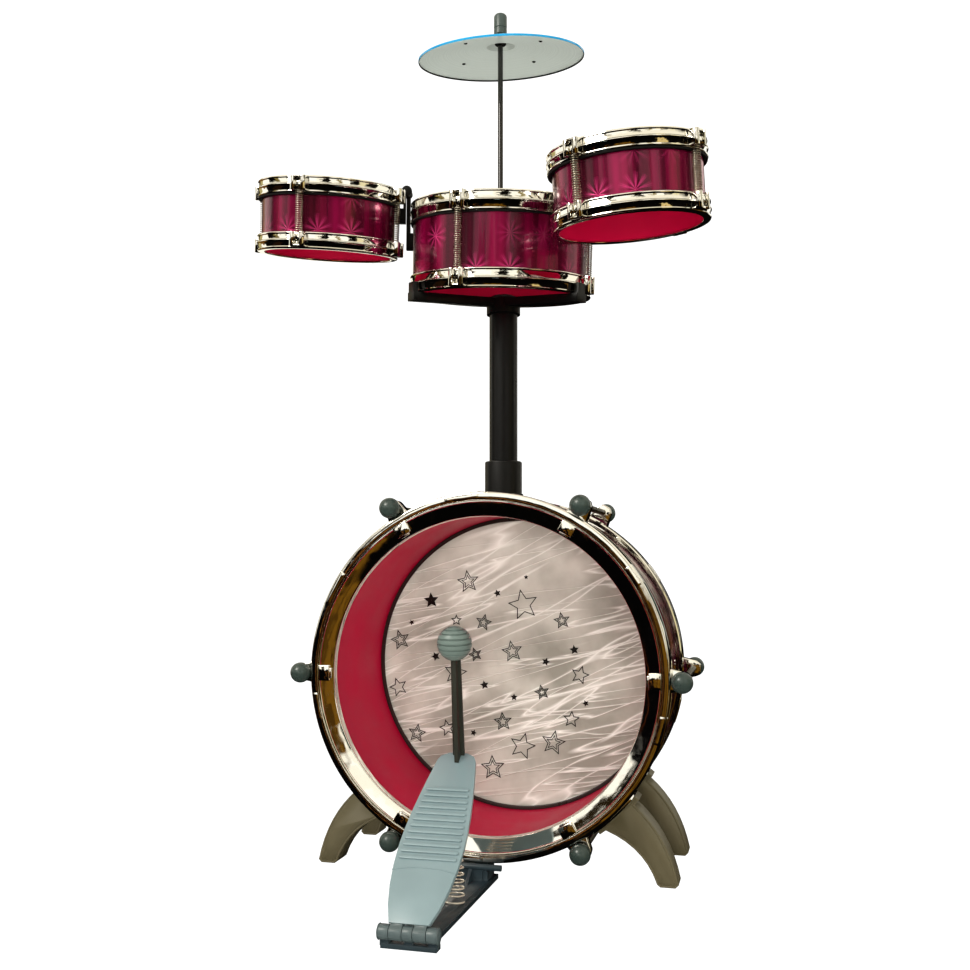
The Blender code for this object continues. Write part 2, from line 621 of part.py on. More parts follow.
def side_tom(label, swivel, centre_place, bearing, spacing, rise, tilt, lug_angle, bracket_shift,
             pivot_height):
    """A side tom with its bracket: the bracket stays on the centre tom and the tom tilts on it."""
    across, along = polar(CENTRE_HOOP + spacing + SIDE_HOOP, bearing)
    centre = centre_place.translation
    spot = shift(centre.x + across, centre.y + along, centre.z + rise)
    place = tilted(spot, tilt)
    # the bracket is built at the side of the centre tom that faces the side tom: X outward, Y to
    # the rear, Z along the centre tom's axis
    toward = centre_place.inverted() @ place.translation
    facing = math.degrees(math.atan2(toward.y, toward.x))
    bracket = centre_place @ turn(facing)
    rearward = 1.0 if math.sin(math.radians(bearing + 90)) > 0 else -1.0
    plate_in = CENTRE_HOOP + PLATE_STANDOFF
    plate_out = plate_in + PLATE_THICKNESS
    tongue_out = plate_out + GAP + TONGUE_THICKNESS
    pivot = Vector((plate_in + PLATE_THICKNESS / 2 + PIVOT_OUTSET, 0.0, CENTRE_HEIGHT + pivot_height))
    first = rearward * bracket_shift
    eye = sorted((first + rearward * GAP, first + rearward * (GAP + BARREL_LENGTH)))
    barrel = sorted((first + rearward * (2 * GAP + BARREL_LENGTH),
                     first + rearward * (2 * GAP + 2 * BARREL_LENGTH)))

    def along_pivot(radius, start, end, segments=SMALL_SEGMENTS):
        return placed(cylinder(radius, start, end, segments), shift(pivot.x, 0, pivot.z) @ turn(-90, "X"))

    bore = PIN_RADIUS + GAP
    bore_ends = (min(eye[0], barrel[0]) - 0.002, max(eye[1], barrel[1]) + 0.002)

    plate = block((plate_in, barrel[0], FOOT_PAD[0]), (plate_out, barrel[1], pivot.z))
    foot = block((CENTRE_HOOP - CENTRE_STEP - FOOT_REACH, barrel[0], FOOT_PAD[0]),
                 (plate_out, barrel[1], FOOT_PAD[1]))
    fixed = combined(plate, [foot, along_pivot(BARREL_RADIUS, *barrel)])
    centre_drum = cylinder(CENTRE_HOOP - CENTRE_STEP + GAP, 0.0, CENTRE_HEIGHT, TOM_SEGMENTS * 2)
    fixed = combined(fixed, [centre_drum, along_pivot(bore, *bore_ends)], "DIFFERENCE")
    finished(f"{label}_bracket", fixed, "black_plastic", swivel, bracket)

    hinge_place = bracket @ shift(*pivot)
    hinge = empty(f"{label}_tom_tilt", hinge_place, swivel)
    to_hinge = hinge_place.inverted()
    tongue = block((plate_out + GAP, eye[0], TOM_PAD[0]), (tongue_out, eye[1], pivot.z))
    pad_reach = CENTRE_HOOP + spacing + SIDE_STEP + PAD_REACH
    pad = block((plate_out + GAP, eye[0], TOM_PAD[0]), (pad_reach, eye[1], TOM_PAD[1]))
    moving = combined(tongue, [pad, along_pivot(BARREL_RADIUS, *eye)])
    side_drum = placed(cylinder(SIDE_HOOP - SIDE_STEP + GAP, 0.0, SIDE_HEIGHT, TOM_SEGMENTS * 2),
                       bracket.inverted() @ place)
    moving = combined(moving, [side_drum, along_pivot(bore, *bore_ends)], "DIFFERENCE")
    finished(f"{label}_clip", moving, "black_plastic", hinge, to_hinge @ bracket)

    head = sorted((first - rearward * THUMB_LENGTH, first))
    tail = max(barrel, key=lambda end: end * rearward)
    shaft = sorted((first, tail))
    screw = combined(along_pivot(THUMB_RADIUS, *head, 14), [along_pivot(PIN_RADIUS, *sorted(
        (first - rearward * THUMB_LENGTH / 2, shaft[1] if rearward > 0 else shaft[0])), 10)])
    thumb = empty(f"{label}_knob_turn", Matrix.Identity(4), hinge)
    finished(f"{label}_knob", screw, "black_plastic", thumb, shift(*-pivot))

    frame = empty(f"{label}_tom_frame", to_hinge @ place, hinge)
    tom(f"{label}_tom", frame, SIDE_HOOP, SIDE_STEP, SIDE_HEIGHT, SIDE_BAND, lug_angle)


# ---- cymbal ----------------------------------------------------------------------------------
def cymbal_parts(swivel, rod_bottom):
    stand = empty("cymbal_stand", shift(STAND_X, STAND_Y, rod_bottom + GAP), swivel)
    finished("cymbal_rod", cylinder(STAND_RADIUS, 0, STAND_LENGTH, 12), "black_painted_steel",
             stand)
    sleeve_foot = STAND_LENGTH - CAP_HEIGHT - SLEEVE_HEIGHT + SLEEVE_GRIP
    shoulder = sleeve_foot + SLEEVE_HEIGHT
    seat = shoulder + SEAT_RISE
    cap_foot = seat + CYMBAL_SHEET + CAP_CLEARANCE
    bore = STAND_RADIUS + GAP
    sleeve = turned([(bore, sleeve_foot), (SLEEVE_RADIUS, sleeve_foot), (SLEEVE_RADIUS, shoulder),
                     (SLEEVE_NECK, shoulder), (SLEEVE_NECK, cap_foot - GAP), (bore, cap_foot - GAP)],
                    SMALL_SEGMENTS)
    finished("cymbal_sleeve", sleeve, "black_plastic", stand)
    top = cap_foot + CAP_HEIGHT
    cap = turned([(0, STAND_LENGTH + GAP), (bore, STAND_LENGTH + GAP), (bore, cap_foot),
                  (CAP_RADIUS, cap_foot), (CAP_RADIUS, top - CAP_RADIUS * 0.6),
                  (CAP_RADIUS * 0.86, top - CAP_RADIUS * 0.26),
                  (CAP_RADIUS * 0.5, top - CAP_RADIUS * 0.06), (0, top)],
                 SMALL_SEGMENTS, closed=False)
    finished("cymbal_cap", cap, "grey_green_plastic", stand)
    spin = empty("cymbal_spin", tilted(shift(z=seat), CYMBAL_TILT), stand)
    under = [(CYMBAL_HOLE, 0.0), (BELL_RADIUS * 0.72, -BELL_HEIGHT * 0.25), (BELL_RADIUS, -BELL_HEIGHT)]
    for step in range(1, 5):
        t = step / 4
        drop = BELL_HEIGHT + CYMBAL_BOW * (0.75 * t + 0.25 * t * t)
        under.append((BELL_RADIUS + (CYMBAL_RADIUS - BELL_RADIUS) * t, -drop))
    over = [(radius, height + CYMBAL_SHEET) for radius, height in reversed(under)]
    finished("cymbal", turned(under + over, 48), "silver_cymbal_sheet", spin)


# ---- pedal -----------------------------------------------------------------------------------
def knuckle(start, end):
    """A hinge knuckle along X about the pivot, with its bore left for later."""
    return placed(cylinder(KNUCKLE_RADIUS, start, end), turn(90, "Y"))


def hinge_spans():
    """Five knuckles along the hinge, as (start, end) pairs from left to right."""
    edge = HINGE_LENGTH / 2
    outer = OUTER_KNUCKLE
    middle = MIDDLE_KNUCKLE / 2
    return [(-edge, -edge + outer), (-edge + outer + GAP, -middle - GAP), (-middle, middle),
            (middle + GAP, edge - outer - GAP), (edge - outer, edge)]


def pedal_outline():
    """Half widths along the pedal, closed round the toe."""
    heel, toe = HEEL_START, PEDAL_LENGTH - PEDAL_TIP_HALF * TIP_ROUND
    right = bow((PEDAL_HEEL_HALF, heel), (PEDAL_BROAD_HALF, heel + HEEL_BEND),
                (PEDAL_BROAD_HALF, PEDAL_BROAD_AT), 4)
    right += bow((PEDAL_BROAD_HALF, PEDAL_BROAD_AT), (PEDAL_BROAD_HALF - 0.0005, PEDAL_BROAD_AT + 0.035),
                 (PEDAL_TIP_HALF, toe), 5)[1:]
    crown = [(PEDAL_TIP_HALF * math.cos(math.radians(a)),
              toe + PEDAL_TIP_HALF * TIP_ROUND * math.sin(math.radians(a))) for a in (30, 60, 90)]
    outline = right + crown
    return outline + [(-x, y) for x, y in reversed(outline) if x > 1e-6]


def pedal_parts(root):
    place = shift(PEDAL_X, HINGE_Y, HINGE_Z)
    base_frame = empty("pedal_base_frame", place, root)
    spans = hinge_spans()
    bore = placed(cylinder(HINGE_PIN_RADIUS + RUNNING, -0.04, 0.04, 12), turn(90, "Y"))
    hoop_bottom = FLOOR_GAP - HINGE_Z
    floor = -HINGE_Z
    clamp_line = BASS_FRONT - HINGE_Y - GAP - CLAMP_RADIUS
    clamp_level = hoop_bottom - CLAMP_DROP
    rest_end = BASS_FRONT - HINGE_Y + REST_DEPTH
    deck = prism([(-BASE_HALF, CHEEK_FRONT), (BASE_HALF, CHEEK_FRONT), (BASE_FAR_HALF, rest_end),
                  (-BASE_FAR_HALF, rest_end)], floor, floor + BASE_THICKNESS)
    bar = placed(cylinder(CLAMP_RADIUS, -CLAMP_HALF, CLAMP_HALF),
                 shift(0, clamp_line, clamp_level) @ turn(90, "Y"))
    post = block((-POST_HALF, clamp_line - CLAMP_RADIUS / 2, floor),
                 (POST_HALF, clamp_line + CLAMP_RADIUS / 2, clamp_level))
    rest = block((-BASE_HALF, clamp_line, floor), (BASE_HALF, rest_end, hoop_bottom - GAP))
    deck_top = floor + BASE_THICKNESS
    sunk = deck_top - GUSSET_HALF
    gusset = prism([(clamp_line - GUSSET_LENGTH, sunk), (clamp_line, sunk), (clamp_line, clamp_level)],
                   -GUSSET_HALF, GUSSET_HALF)
    # the prism's (x, y) become the base's (Y, Z)
    gusset = placed(gusset, Matrix(((0, 0, 1, 0), (1, 0, 0, 0), (0, 1, 0, 0), (0, 0, 0, 1))))
    parts = [rest, post, bar, gusset]
    for start, end in (spans[0], spans[2], spans[4]):
        parts.append(knuckle(start, end))
        parts.append(block((start + CHEEK_INSET, CHEEK_FRONT, floor + BASE_THICKNESS / 2),
                           (end - CHEEK_INSET, CHEEK_BACK, -0.001)))
    parts.append(block((-BRIDGE_HALF, CHEEK_FRONT - 0.0006, floor + 0.0002),
                       (BRIDGE_HALF, CHEEK_BACK + 0.0026, floor + BASE_THICKNESS - 0.0003)))
    base = combined(combined(deck, parts), [bore], "DIFFERENCE")
    finished("pedal_base", base, "blue_grey_plastic", base_frame)
    pin = placed(cylinder(HINGE_PIN_RADIUS, -HINGE_LENGTH / 2, HINGE_LENGTH / 2, 12), turn(90, "Y"))
    finished("hinge_pin", pin, "spring_steel", base_frame)

    hinge = empty("pedal_hinge", place @ turn(PEDAL_ANGLE, "X"), root)
    plate = prism(pedal_outline(), PEDAL_FACE - PEDAL_THICKNESS, PEDAL_FACE)
    hub_parts = []
    for start, end in (spans[1], spans[3]):
        hub_parts.append(knuckle(start, end))
        hub_parts.append(block((start + CHEEK_INSET, -0.002, 0.0),
                               (end - CHEEK_INSET, 0.009, PEDAL_FACE - 0.001)))
    gap_parts = []
    for start, end in (spans[0], spans[2], spans[4]):
        tool = cylinder(KNUCKLE_RADIUS + KNUCKLE_CUT, start - KNUCKLE_GAP, end + KNUCKLE_GAP)
        gap_parts.append(placed(tool, turn(90, "Y")))
    bore = placed(cylinder(HINGE_PIN_RADIUS + RUNNING, -0.04, 0.04, 12), turn(90, "Y"))
    plate = combined(combined(plate, hub_parts), [*gap_parts, bore], "DIFFERENCE")
    finished("pedal_plate", plate, "teal_grey_plastic", hinge)

    stem_foot = shift(BEATER_SHIFT, BEATER_AT, PEDAL_FACE + GAP)
    stem_place = stem_foot @ turn(-PEDAL_ANGLE + BEATER_LEAN, "X")
    under = placed(block((-0.03, -0.03, -0.05), (0.03, 0.05, 0)), stem_foot)
    stem = combined(placed(beater_stem(), stem_place), [under], "DIFFERENCE")
    finished("beater_rod", stem, "black_plastic", hinge)
    ball_place = stem_place @ shift(z=BEATER_LENGTH + BALL_RADIUS - BALL_GRIP)
    finished("beater_ball", beater_ball(), "grey_green_plastic", hinge, ball_place)
    coil(root)


def beater_stem():
    """A T-shaped bar that narrows towards the ball; its foot runs on past Z = 0 for the cut."""
    shape = bmesh.new()
    rings = []
    for height, half in ((-0.010, BEATER_FOOT_HALF), (BEATER_LENGTH - BALL_GRIP, BEATER_TOP_HALF),
                         (BEATER_LENGTH, BEATER_TOP_HALF * 0.9)):
        web = BEATER_WEB_HALF
        front, back = FLANGE_SHARE * half, FLANGE_BACK * half
        corners = [(half, front), (half, back), (-half, back), (-half, front), (-web, front),
                   (-web, -half), (web, -half), (web, front)]
        rings.append([shape.verts.new((x, y, height)) for x, y in corners])
    for low, high in zip(rings, rings[1:]):
        for index in range(len(low)):
            after = (index + 1) % len(low)
            shape.faces.new((low[index], low[after], high[after], high[index]))
    shape.faces.new(rings[0])
    shape.faces.new(rings[-1])
    bmesh.ops.recalc_face_normals(shape, faces=shape.faces)
    return shape


def beater_ball():
    """A ball with a socket for the stem."""
    socket = BEATER_TOP_HALF * math.hypot(1.0, FLANGE_BACK) + GAP
    start = -math.degrees(math.acos(socket / BALL_RADIUS))
    profile = [(0, -BALL_RADIUS + BALL_GRIP + GAP), (socket, -BALL_RADIUS + BALL_GRIP + GAP)]
    steps = 7
    for step in range(steps + 1):
        profile.append(polar(BALL_RADIUS, start + (90 - start) * step / steps))
    profile[-1] = (0, BALL_RADIUS)
    return turned(profile, 16, closed=False)


def coil_height():
    """Clear height between the base's deck and the pedal's underside at the spring."""
    reach = COIL_Y - COIL_TOP_RADIUS - HINGE_Y
    slope = math.radians(PEDAL_ANGLE)
    under = PEDAL_FACE - PEDAL_THICKNESS
    along = (reach + under * math.sin(slope)) / math.cos(slope)
    rise = along * math.sin(slope) + under * math.cos(slope)
    return HINGE_Z + rise - BASE_THICKNESS - 2 * GAP


def coil(root):
    """The pedal's return spring, as the hollow cone that its turns fill."""
    height = coil_height()
    shape = turned([(COIL_FOOT_RADIUS, 0), (COIL_TOP_RADIUS, height),
                    (COIL_TOP_RADIUS - COIL_WIRE, height), (COIL_FOOT_RADIUS - COIL_WIRE, 0)], 20)
    finished("pedal_spring", shape, "spring_steel", root,
             shift(PEDAL_X + COIL_SHIFT, COIL_Y, BASE_THICKNESS + GAP))


# ---- the kit ---------------------------------------------------------------------------------
def stand_at_origin(root):
    """Move the root so that the kit's footprint is centred on the origin, on the floor."""
    bpy.context.view_layer.update()
    corners = []
    for made in bpy.data.objects:
        if made.type == "MESH":
            corners += [made.matrix_world @ vertex.co for vertex in made.data.vertices]
    low = Vector([min(corner[axis] for corner in corners) for axis in range(3)])
    high = Vector([max(corner[axis] for corner in corners) for axis in range(3)])
    middle = (low + high) / 2
    root.location = (-middle.x, -middle.y, -low.z)


def main():
    for old in list(bpy.data.objects):
        bpy.data.objects.remove(old)
    root = empty("drum_kit", Matrix.Identity(4))
    bass_drum(root)
    swivel = pole_parts(root)
    centre = tilted(shift(*CENTRE_OFFSET, CENTRE_EDGE - POLE_FOOT), CENTRE_TILT)
    rod_bottom = spider(swivel, centre)
    tom("centre_tom", empty("centre_tom_frame", centre, swivel), CENTRE_HOOP, CENTRE_STEP,
        CENTRE_HEIGHT, CENTRE_BAND, CENTRE_LUGS)
    side_tom("left", swivel, centre, LEFT_BEARING, LEFT_SPACING, LEFT_RISE, LEFT_TILT,
             LEFT_LUGS, LEFT_BRACKET_SHIFT, LEFT_PIVOT)
    side_tom("right", swivel, centre, RIGHT_BEARING, RIGHT_SPACING, RIGHT_RISE, RIGHT_TILT,
             RIGHT_LUGS, RIGHT_BRACKET_SHIFT, RIGHT_PIVOT)
    cymbal_parts(swivel, rod_bottom)
    pedal_parts(root)
    stand_at_origin(root)


main()
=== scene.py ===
"""The finished look of a small five-piece drum kit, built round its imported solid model.

Lengths are in metres, +Z is up, and the drummer sits towards -Y.
"""
import json
import math

import bmesh
import bpy
import numpy as np
from mathutils import Matrix, Vector, noise


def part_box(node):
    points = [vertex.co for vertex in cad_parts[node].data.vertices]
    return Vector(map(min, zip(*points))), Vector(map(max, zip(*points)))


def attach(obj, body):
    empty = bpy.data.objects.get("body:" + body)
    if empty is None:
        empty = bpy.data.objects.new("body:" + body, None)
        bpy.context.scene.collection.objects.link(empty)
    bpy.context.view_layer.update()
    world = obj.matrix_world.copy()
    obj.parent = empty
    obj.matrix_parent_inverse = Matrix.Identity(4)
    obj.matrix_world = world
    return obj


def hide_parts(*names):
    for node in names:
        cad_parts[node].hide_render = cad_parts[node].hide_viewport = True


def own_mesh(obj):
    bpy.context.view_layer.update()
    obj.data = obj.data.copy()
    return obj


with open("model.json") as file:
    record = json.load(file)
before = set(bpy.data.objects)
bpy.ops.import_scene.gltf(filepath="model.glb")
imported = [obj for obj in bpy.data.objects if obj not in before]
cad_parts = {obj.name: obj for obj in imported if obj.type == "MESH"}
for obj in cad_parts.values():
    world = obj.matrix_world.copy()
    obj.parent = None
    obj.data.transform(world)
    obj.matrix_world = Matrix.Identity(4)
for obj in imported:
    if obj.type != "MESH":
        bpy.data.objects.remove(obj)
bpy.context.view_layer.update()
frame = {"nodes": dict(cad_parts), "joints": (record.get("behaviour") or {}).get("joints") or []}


# ---- studio ------------------------------------------------------------------------------------
# A white room with soft lights, and a pale floor that only passes light on. Bright plating shows its
# surroundings, so reflections see windows and doorways above, brown furniture below, a dark ground.
KIT_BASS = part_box("bass_shell")
DRUM_CENTRE = (KIT_BASS[0] + KIT_BASS[1]) / 2
EYE = Vector((0.2727, -1.0047, 0.2917))     # a low stool's height, right of the pedal
EYE_TURN = 14.81                            # degrees left of straight ahead
EYE_LENS = 40.35
EYE_RISE = 0.0825                           # the lens is shifted up and stays level


def linear(code):
    """The linear colour of an sRGB hex value, opaque."""
    channels = [int(code[start:start + 2], 16) / 255 for start in (0, 2, 4)]
    return [c / 12.92 if c <= 0.04045 else ((c + 0.055) / 1.055) ** 2.4 for c in channels] + [1.0]


def add(tree, kind, inputs=None, **settings):
    """One node with its settings; each input takes a value or another node's output."""
    made = tree.nodes.new(kind)
    for name, value in settings.items():
        setattr(made, name, value)
    for key, value in (inputs or {}).items():
        if isinstance(value, bpy.types.NodeSocket):
            tree.links.new(value, made.inputs[key])
        else:
            made.inputs[key].default_value = value
    return made


def surface(name, **inputs):
    """A material with its Principled shader set; returns the material, its tree and the shader."""
    made = bpy.data.materials.new(name)
    made.use_nodes = True
    shader = made.node_tree.nodes["Principled BSDF"]
    for key, value in inputs.items():
        shader.inputs[key.replace("_", " ")].default_value = value
    return made, made.node_tree, shader


def maths(tree, operation, *values):
    """The outcome of one sum; each value is a number or another node's output."""
    return add(tree, "ShaderNodeMath", dict(enumerate(values)), operation=operation).outputs[0]


def ranged(tree, value, low, high, to_low=0.0, to_high=1.0):
    """A value moved from one range to another."""
    return add(tree, "ShaderNodeMapRange", {"Value": value, "From Min": low, "From Max": high,
                                            "To Min": to_low, "To Max": to_high}).outputs[0]


def on_object(tree):
    """The place on the piece, in metres, that a pattern is laid by."""
    return add(tree, "ShaderNodeTexCoord").outputs["Object"]


def noisy(tree, place, scale, detail):
    """Even random cloudiness from about 0.3 to 0.7."""
    return add(tree, "ShaderNodeTexNoise", {"Vector": place, "Scale": scale, "Detail": detail}).outputs[0]


def toned(tree, value, low, first, high, last):
    """A value turned into a colour: first up to low, last from high on."""
    ramp = add(tree, "ShaderNodeValToRGB", {"Fac": value})
    for element, position, shade in zip(ramp.color_ramp.elements, (low, high), (first, last)):
        element.position = position
        element.color = shade
    return ramp.outputs[0]


def bumped(tree, shader, height, strength, distance):
    """Relief on a surface."""
    relief = add(tree, "ShaderNodeBump", {"Height": height, "Strength": strength, "Distance": distance})
    tree.links.new(relief.outputs[0], shader.inputs["Normal"])


camera = bpy.data.objects.new("camera", bpy.data.cameras.new("camera"))
bpy.context.collection.objects.link(camera)
camera.location = EYE
camera.rotation_euler = (math.radians(90), 0, math.radians(EYE_TURN))
camera.data.lens = EYE_LENS
camera.data.shift_y = EYE_RISE
bpy.context.scene.camera = camera
bpy.context.scene.view_settings.view_transform = "Standard"
bpy.context.scene.view_settings.look = "Medium High Contrast"


def card(name, centre, size, finish):
    """A level panel of the studio that the camera doesn't see."""
    shape = bmesh.new()
    bmesh.ops.create_grid(shape, x_segments=1, y_segments=1, size=0.5)
    place = Matrix.Translation(centre) @ Matrix.Diagonal((*size, 1.0, 1.0))
    bmesh.ops.transform(shape, matrix=place, verts=shape.verts)
    mesh = bpy.data.meshes.new(name)
    shape.to_mesh(mesh)
    shape.free()
    mesh.materials.append(finish)
    panel = bpy.data.objects.new(name, mesh)
    bpy.context.collection.objects.link(panel)
    panel.visible_camera = False
    return panel


def soft_box(name, centre, size, power, colour):
    lamp = bpy.data.lights.new(name, "AREA")
    lamp.shape = "RECTANGLE"
    lamp.size, lamp.size_y = size
    lamp.energy = power
    lamp.color = linear(colour)[:3]
    holder = bpy.data.objects.new(name, lamp)
    bpy.context.collection.objects.link(holder)
    holder.location = centre
    holder.visible_glossy = name == "key_box"
    holder.rotation_euler = (Vector((0.0, 0.0, 0.42)) - Vector(centre)).to_track_quat("-Z", "Y").to_euler()


sweep_finish, _, _ = surface("pale_sweep", Base_Color=linear("f6f5f2"), Roughness=0.9)
floor = card("floor", (0.0, 0.0, -0.0006), (6.0, 6.0), sweep_finish)
floor.visible_glossy = False
soft_box("key_box", (-1.2, -1.7, 1.9), (1.0, 1.0), 34.0, "fffaf2")
soft_box("fill_box", (1.7, -1.3, 0.8), (0.6, 1.2), 9.0, "fff6ea")
soft_box("front_box", (0.45, -2.1, 0.42), (0.7, 0.5), 22.0, "fffaf4")
soft_box("back_box", (0.1, 1.9, 0.9), (1.2, 1.2), 30.0, "fdfaf4")


def banded(tree, heading, stops):
    """Flat bands of colour round the room; heading runs 0 to 1 with straight ahead at 0.5."""
    ramp = add(tree, "ShaderNodeValToRGB", {"Fac": heading})
    ramp.color_ramp.interpolation = "CONSTANT"
    elements = ramp.color_ramp.elements
    elements[0].color = linear(stops[0][1])
    elements[1].position, elements[1].color = stops[1][0], linear(stops[1][1])
    for position, shade in stops[2:]:
        elements.new(position).color = linear(shade)
    return ramp.outputs["Color"]


def blended(tree, share, first, second):
    """A colour between two, by a share from 0 to 1."""
    made = add(tree, "ShaderNodeMix", data_type="RGBA")
    for socket, value in ((made.inputs[0], share), (made.inputs[6], first), (made.inputs[7], second)):
        if isinstance(value, bpy.types.NodeSocket):
            tree.links.new(value, socket)
        else:
            socket.default_value = value
    return made.outputs[2]


room = bpy.data.worlds.new("room")
bpy.context.scene.world = room
room.use_nodes = True
room_tree = room.node_tree
room_tree.nodes.clear()
way = add(room_tree, "ShaderNodeTexCoord").outputs["Generated"]
split = add(room_tree, "ShaderNodeSeparateXYZ", {"Vector": way})
angle = maths(room_tree, "ARCTAN2", split.outputs["X"], maths(room_tree, "MULTIPLY", split.outputs["Y"],
                                                              -1.0))
wander = ranged(room_tree, noisy(room_tree, way, 7.0, 2.0), 0.3, 0.7, -0.02, 0.02)
heading = maths(room_tree, "ADD", maths(room_tree, "MULTIPLY_ADD", angle, 1 / math.tau, 0.5), wander)
windows = banded(room_tree, heading, (
    (0.0, "0d0b08"), (0.05, "efe9d9"), (0.10, "15110b"), (0.13, "a89c6e"), (0.17, "f6f2e6"),
    (0.24, "0b0907"),
    (0.29, "7c6f45"), (0.31, "f3efe2"), (0.375, "100d09"), (0.40, "f6f2e6"), (0.425, "2a2113"),
    (0.44, "fbf8ee"),
    (0.50, "f1ecdc"), (0.53, "0e0b08"), (0.565, "f3efe2"), (0.60, "8a7c50"), (0.615, "f8f4e8"),
    (0.66, "0b0907"),
    (0.70, "d9cfa8"), (0.74, "120f0a"), (0.80, "f0ebda"), (0.87, "1a150d"), (0.91, "f6f2e6"),
    (0.96, "0c0a08")))
furniture = banded(room_tree, heading, (
    (0.0, "0b0907"), (0.12, "6a4a22"), (0.20, "0b0907"), (0.28, "241509"), (0.33, "060505"),
    (0.388, "5a2e14"),
    (0.392, "060505"), (0.448, "8a5a2a"), (0.453, "0a0807"), (0.474, "3a290c"), (0.484, "6b4c16"),
    (0.496, "4a3410"),
    (0.503, "6e4f18"), (0.524, "3a290c"), (0.53, "6b4c16"), (0.55, "0b0907"), (0.64, "c9b27a"),
    (0.68, "0b0907"),
    (0.80, "5e4520"), (0.88, "0b0907")))
rise = maths(room_tree, "ADD", split.outputs["Z"], maths(room_tree, "MULTIPLY", wander, 3.0))
walls = blended(room_tree, ranged(room_tree, rise, 0.03, 0.05), furniture, windows)
walls = blended(room_tree, ranged(room_tree, rise, -0.29, -0.33), walls, linear("070605"))
walls = blended(room_tree, ranged(room_tree, rise, 0.50, 0.62), walls, linear("e9e2cf"))
mirrored = add(room_tree, "ShaderNodeBackground", {"Color": walls, "Strength": 1.1}).outputs[0]
softly = add(room_tree, "ShaderNodeBackground", {"Color": linear("fffaf2"), "Strength": 0.7}).outputs[0]
plain = add(room_tree, "ShaderNodeBackground", {"Color": linear("ffffff"), "Strength": 1.0}).outputs[0]
seen = add(room_tree, "ShaderNodeLightPath").outputs
lit = add(room_tree, "ShaderNodeMixShader", {0: seen["Is Glossy Ray"], 1: softly, 2: mirrored}).outputs[0]
lit = add(room_tree, "ShaderNodeMixShader", {0: seen["Is Camera Ray"], 1: lit, 2: plain}).outputs[0]
add(room_tree, "ShaderNodeOutputWorld", {"Surface": lit})


# ---- bass drum shell ---------------------------------------------------------------------------
# A thin moulded tube wrapped in holographic film: crimson, with bursts of fine rays; on bursts picked at
# random the rays are painted pink as glints. The inside is bare crimson plastic.
SHELL_WALL = 0.0035
BURST = 0.038           # one burst to the next
shell_low, shell_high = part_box("bass_shell")
bass_place = (Matrix.Translation((DRUM_CENTRE.x, shell_low.y, DRUM_CENTRE.z))
              @ Matrix.Rotation(math.radians(-90), 4, "X"))
bass_radius = (shell_high.x - shell_low.x) / 2
bass_length = shell_high.y - shell_low.y


def polar(radius, angle):
    return radius * math.cos(math.radians(angle)), radius * math.sin(math.radians(angle))


def turned(profile, around, closed=True, finishes=None):
    """Turn a profile of (radius, height) round Z. UV is metres round the piece and along the profile.

    finishes gives the material number of each stretch of the profile.
    """
    shape = bmesh.new()
    layer = shape.loops.layers.uv.new("wrap")
    count = len(profile)
    widest = max(radius for radius, _ in profile)
    rings = []
    for radius, height in profile:
        if radius < 1e-7:
            rings.append([shape.verts.new((0, 0, height))] * around)
            continue
        rings.append([shape.verts.new((*polar(radius, 360 * step / around),
                                       height)) for step in range(around)])
    walked = 0.0
    for index in range(count if closed else count - 1):
        after = (index + 1) % count
        length = math.dist(profile[index], profile[after])
        for step in range(around):
            follow = (step + 1) % around
            corners = [(rings[index][step], step, walked), (rings[index][follow], step + 1, walked),
                       (rings[after][follow], step + 1, walked + length),
                       (rings[after][step], step, walked + length)]
            kept = []
            for corner in corners:
                if corner[0] not in [other[0] for other in kept]:
                    kept.append(corner)
            if len(kept) < 3:
                continue
            face = shape.faces.new([corner[0] for corner in kept])
            face.material_index = finishes[index] if finishes else 0
            for loop, corner in zip(face.loops, kept):
                loop[layer].uv = (math.tau * widest * corner[1] / around, corner[2])
        walked += length
    return shape


def piece(name, shape, finishes, body, place=None, stands_for=(), smooth=35):
    """Make the shape one named piece, with its place in its mesh, riding on its body."""
    if place is not None:
        bmesh.ops.transform(shape, matrix=place, verts=shape.verts)
    bmesh.ops.remove_doubles(shape, verts=shape.verts, dist=1e-6)
    bmesh.ops.recalc_face_normals(shape, faces=shape.faces)
    mesh = bpy.data.meshes.new(name)
    shape.to_mesh(mesh)
    shape.free()
    for finish in finishes:
        mesh.materials.append(finish)
    mesh.shade_smooth()
    mesh.set_sharp_from_angle(angle=math.radians(smooth))
    made = bpy.data.objects.new(name, mesh)
    bpy.context.collection.objects.link(made)
    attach(made, body)
    if stands_for:
        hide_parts(*stands_for)
    return made


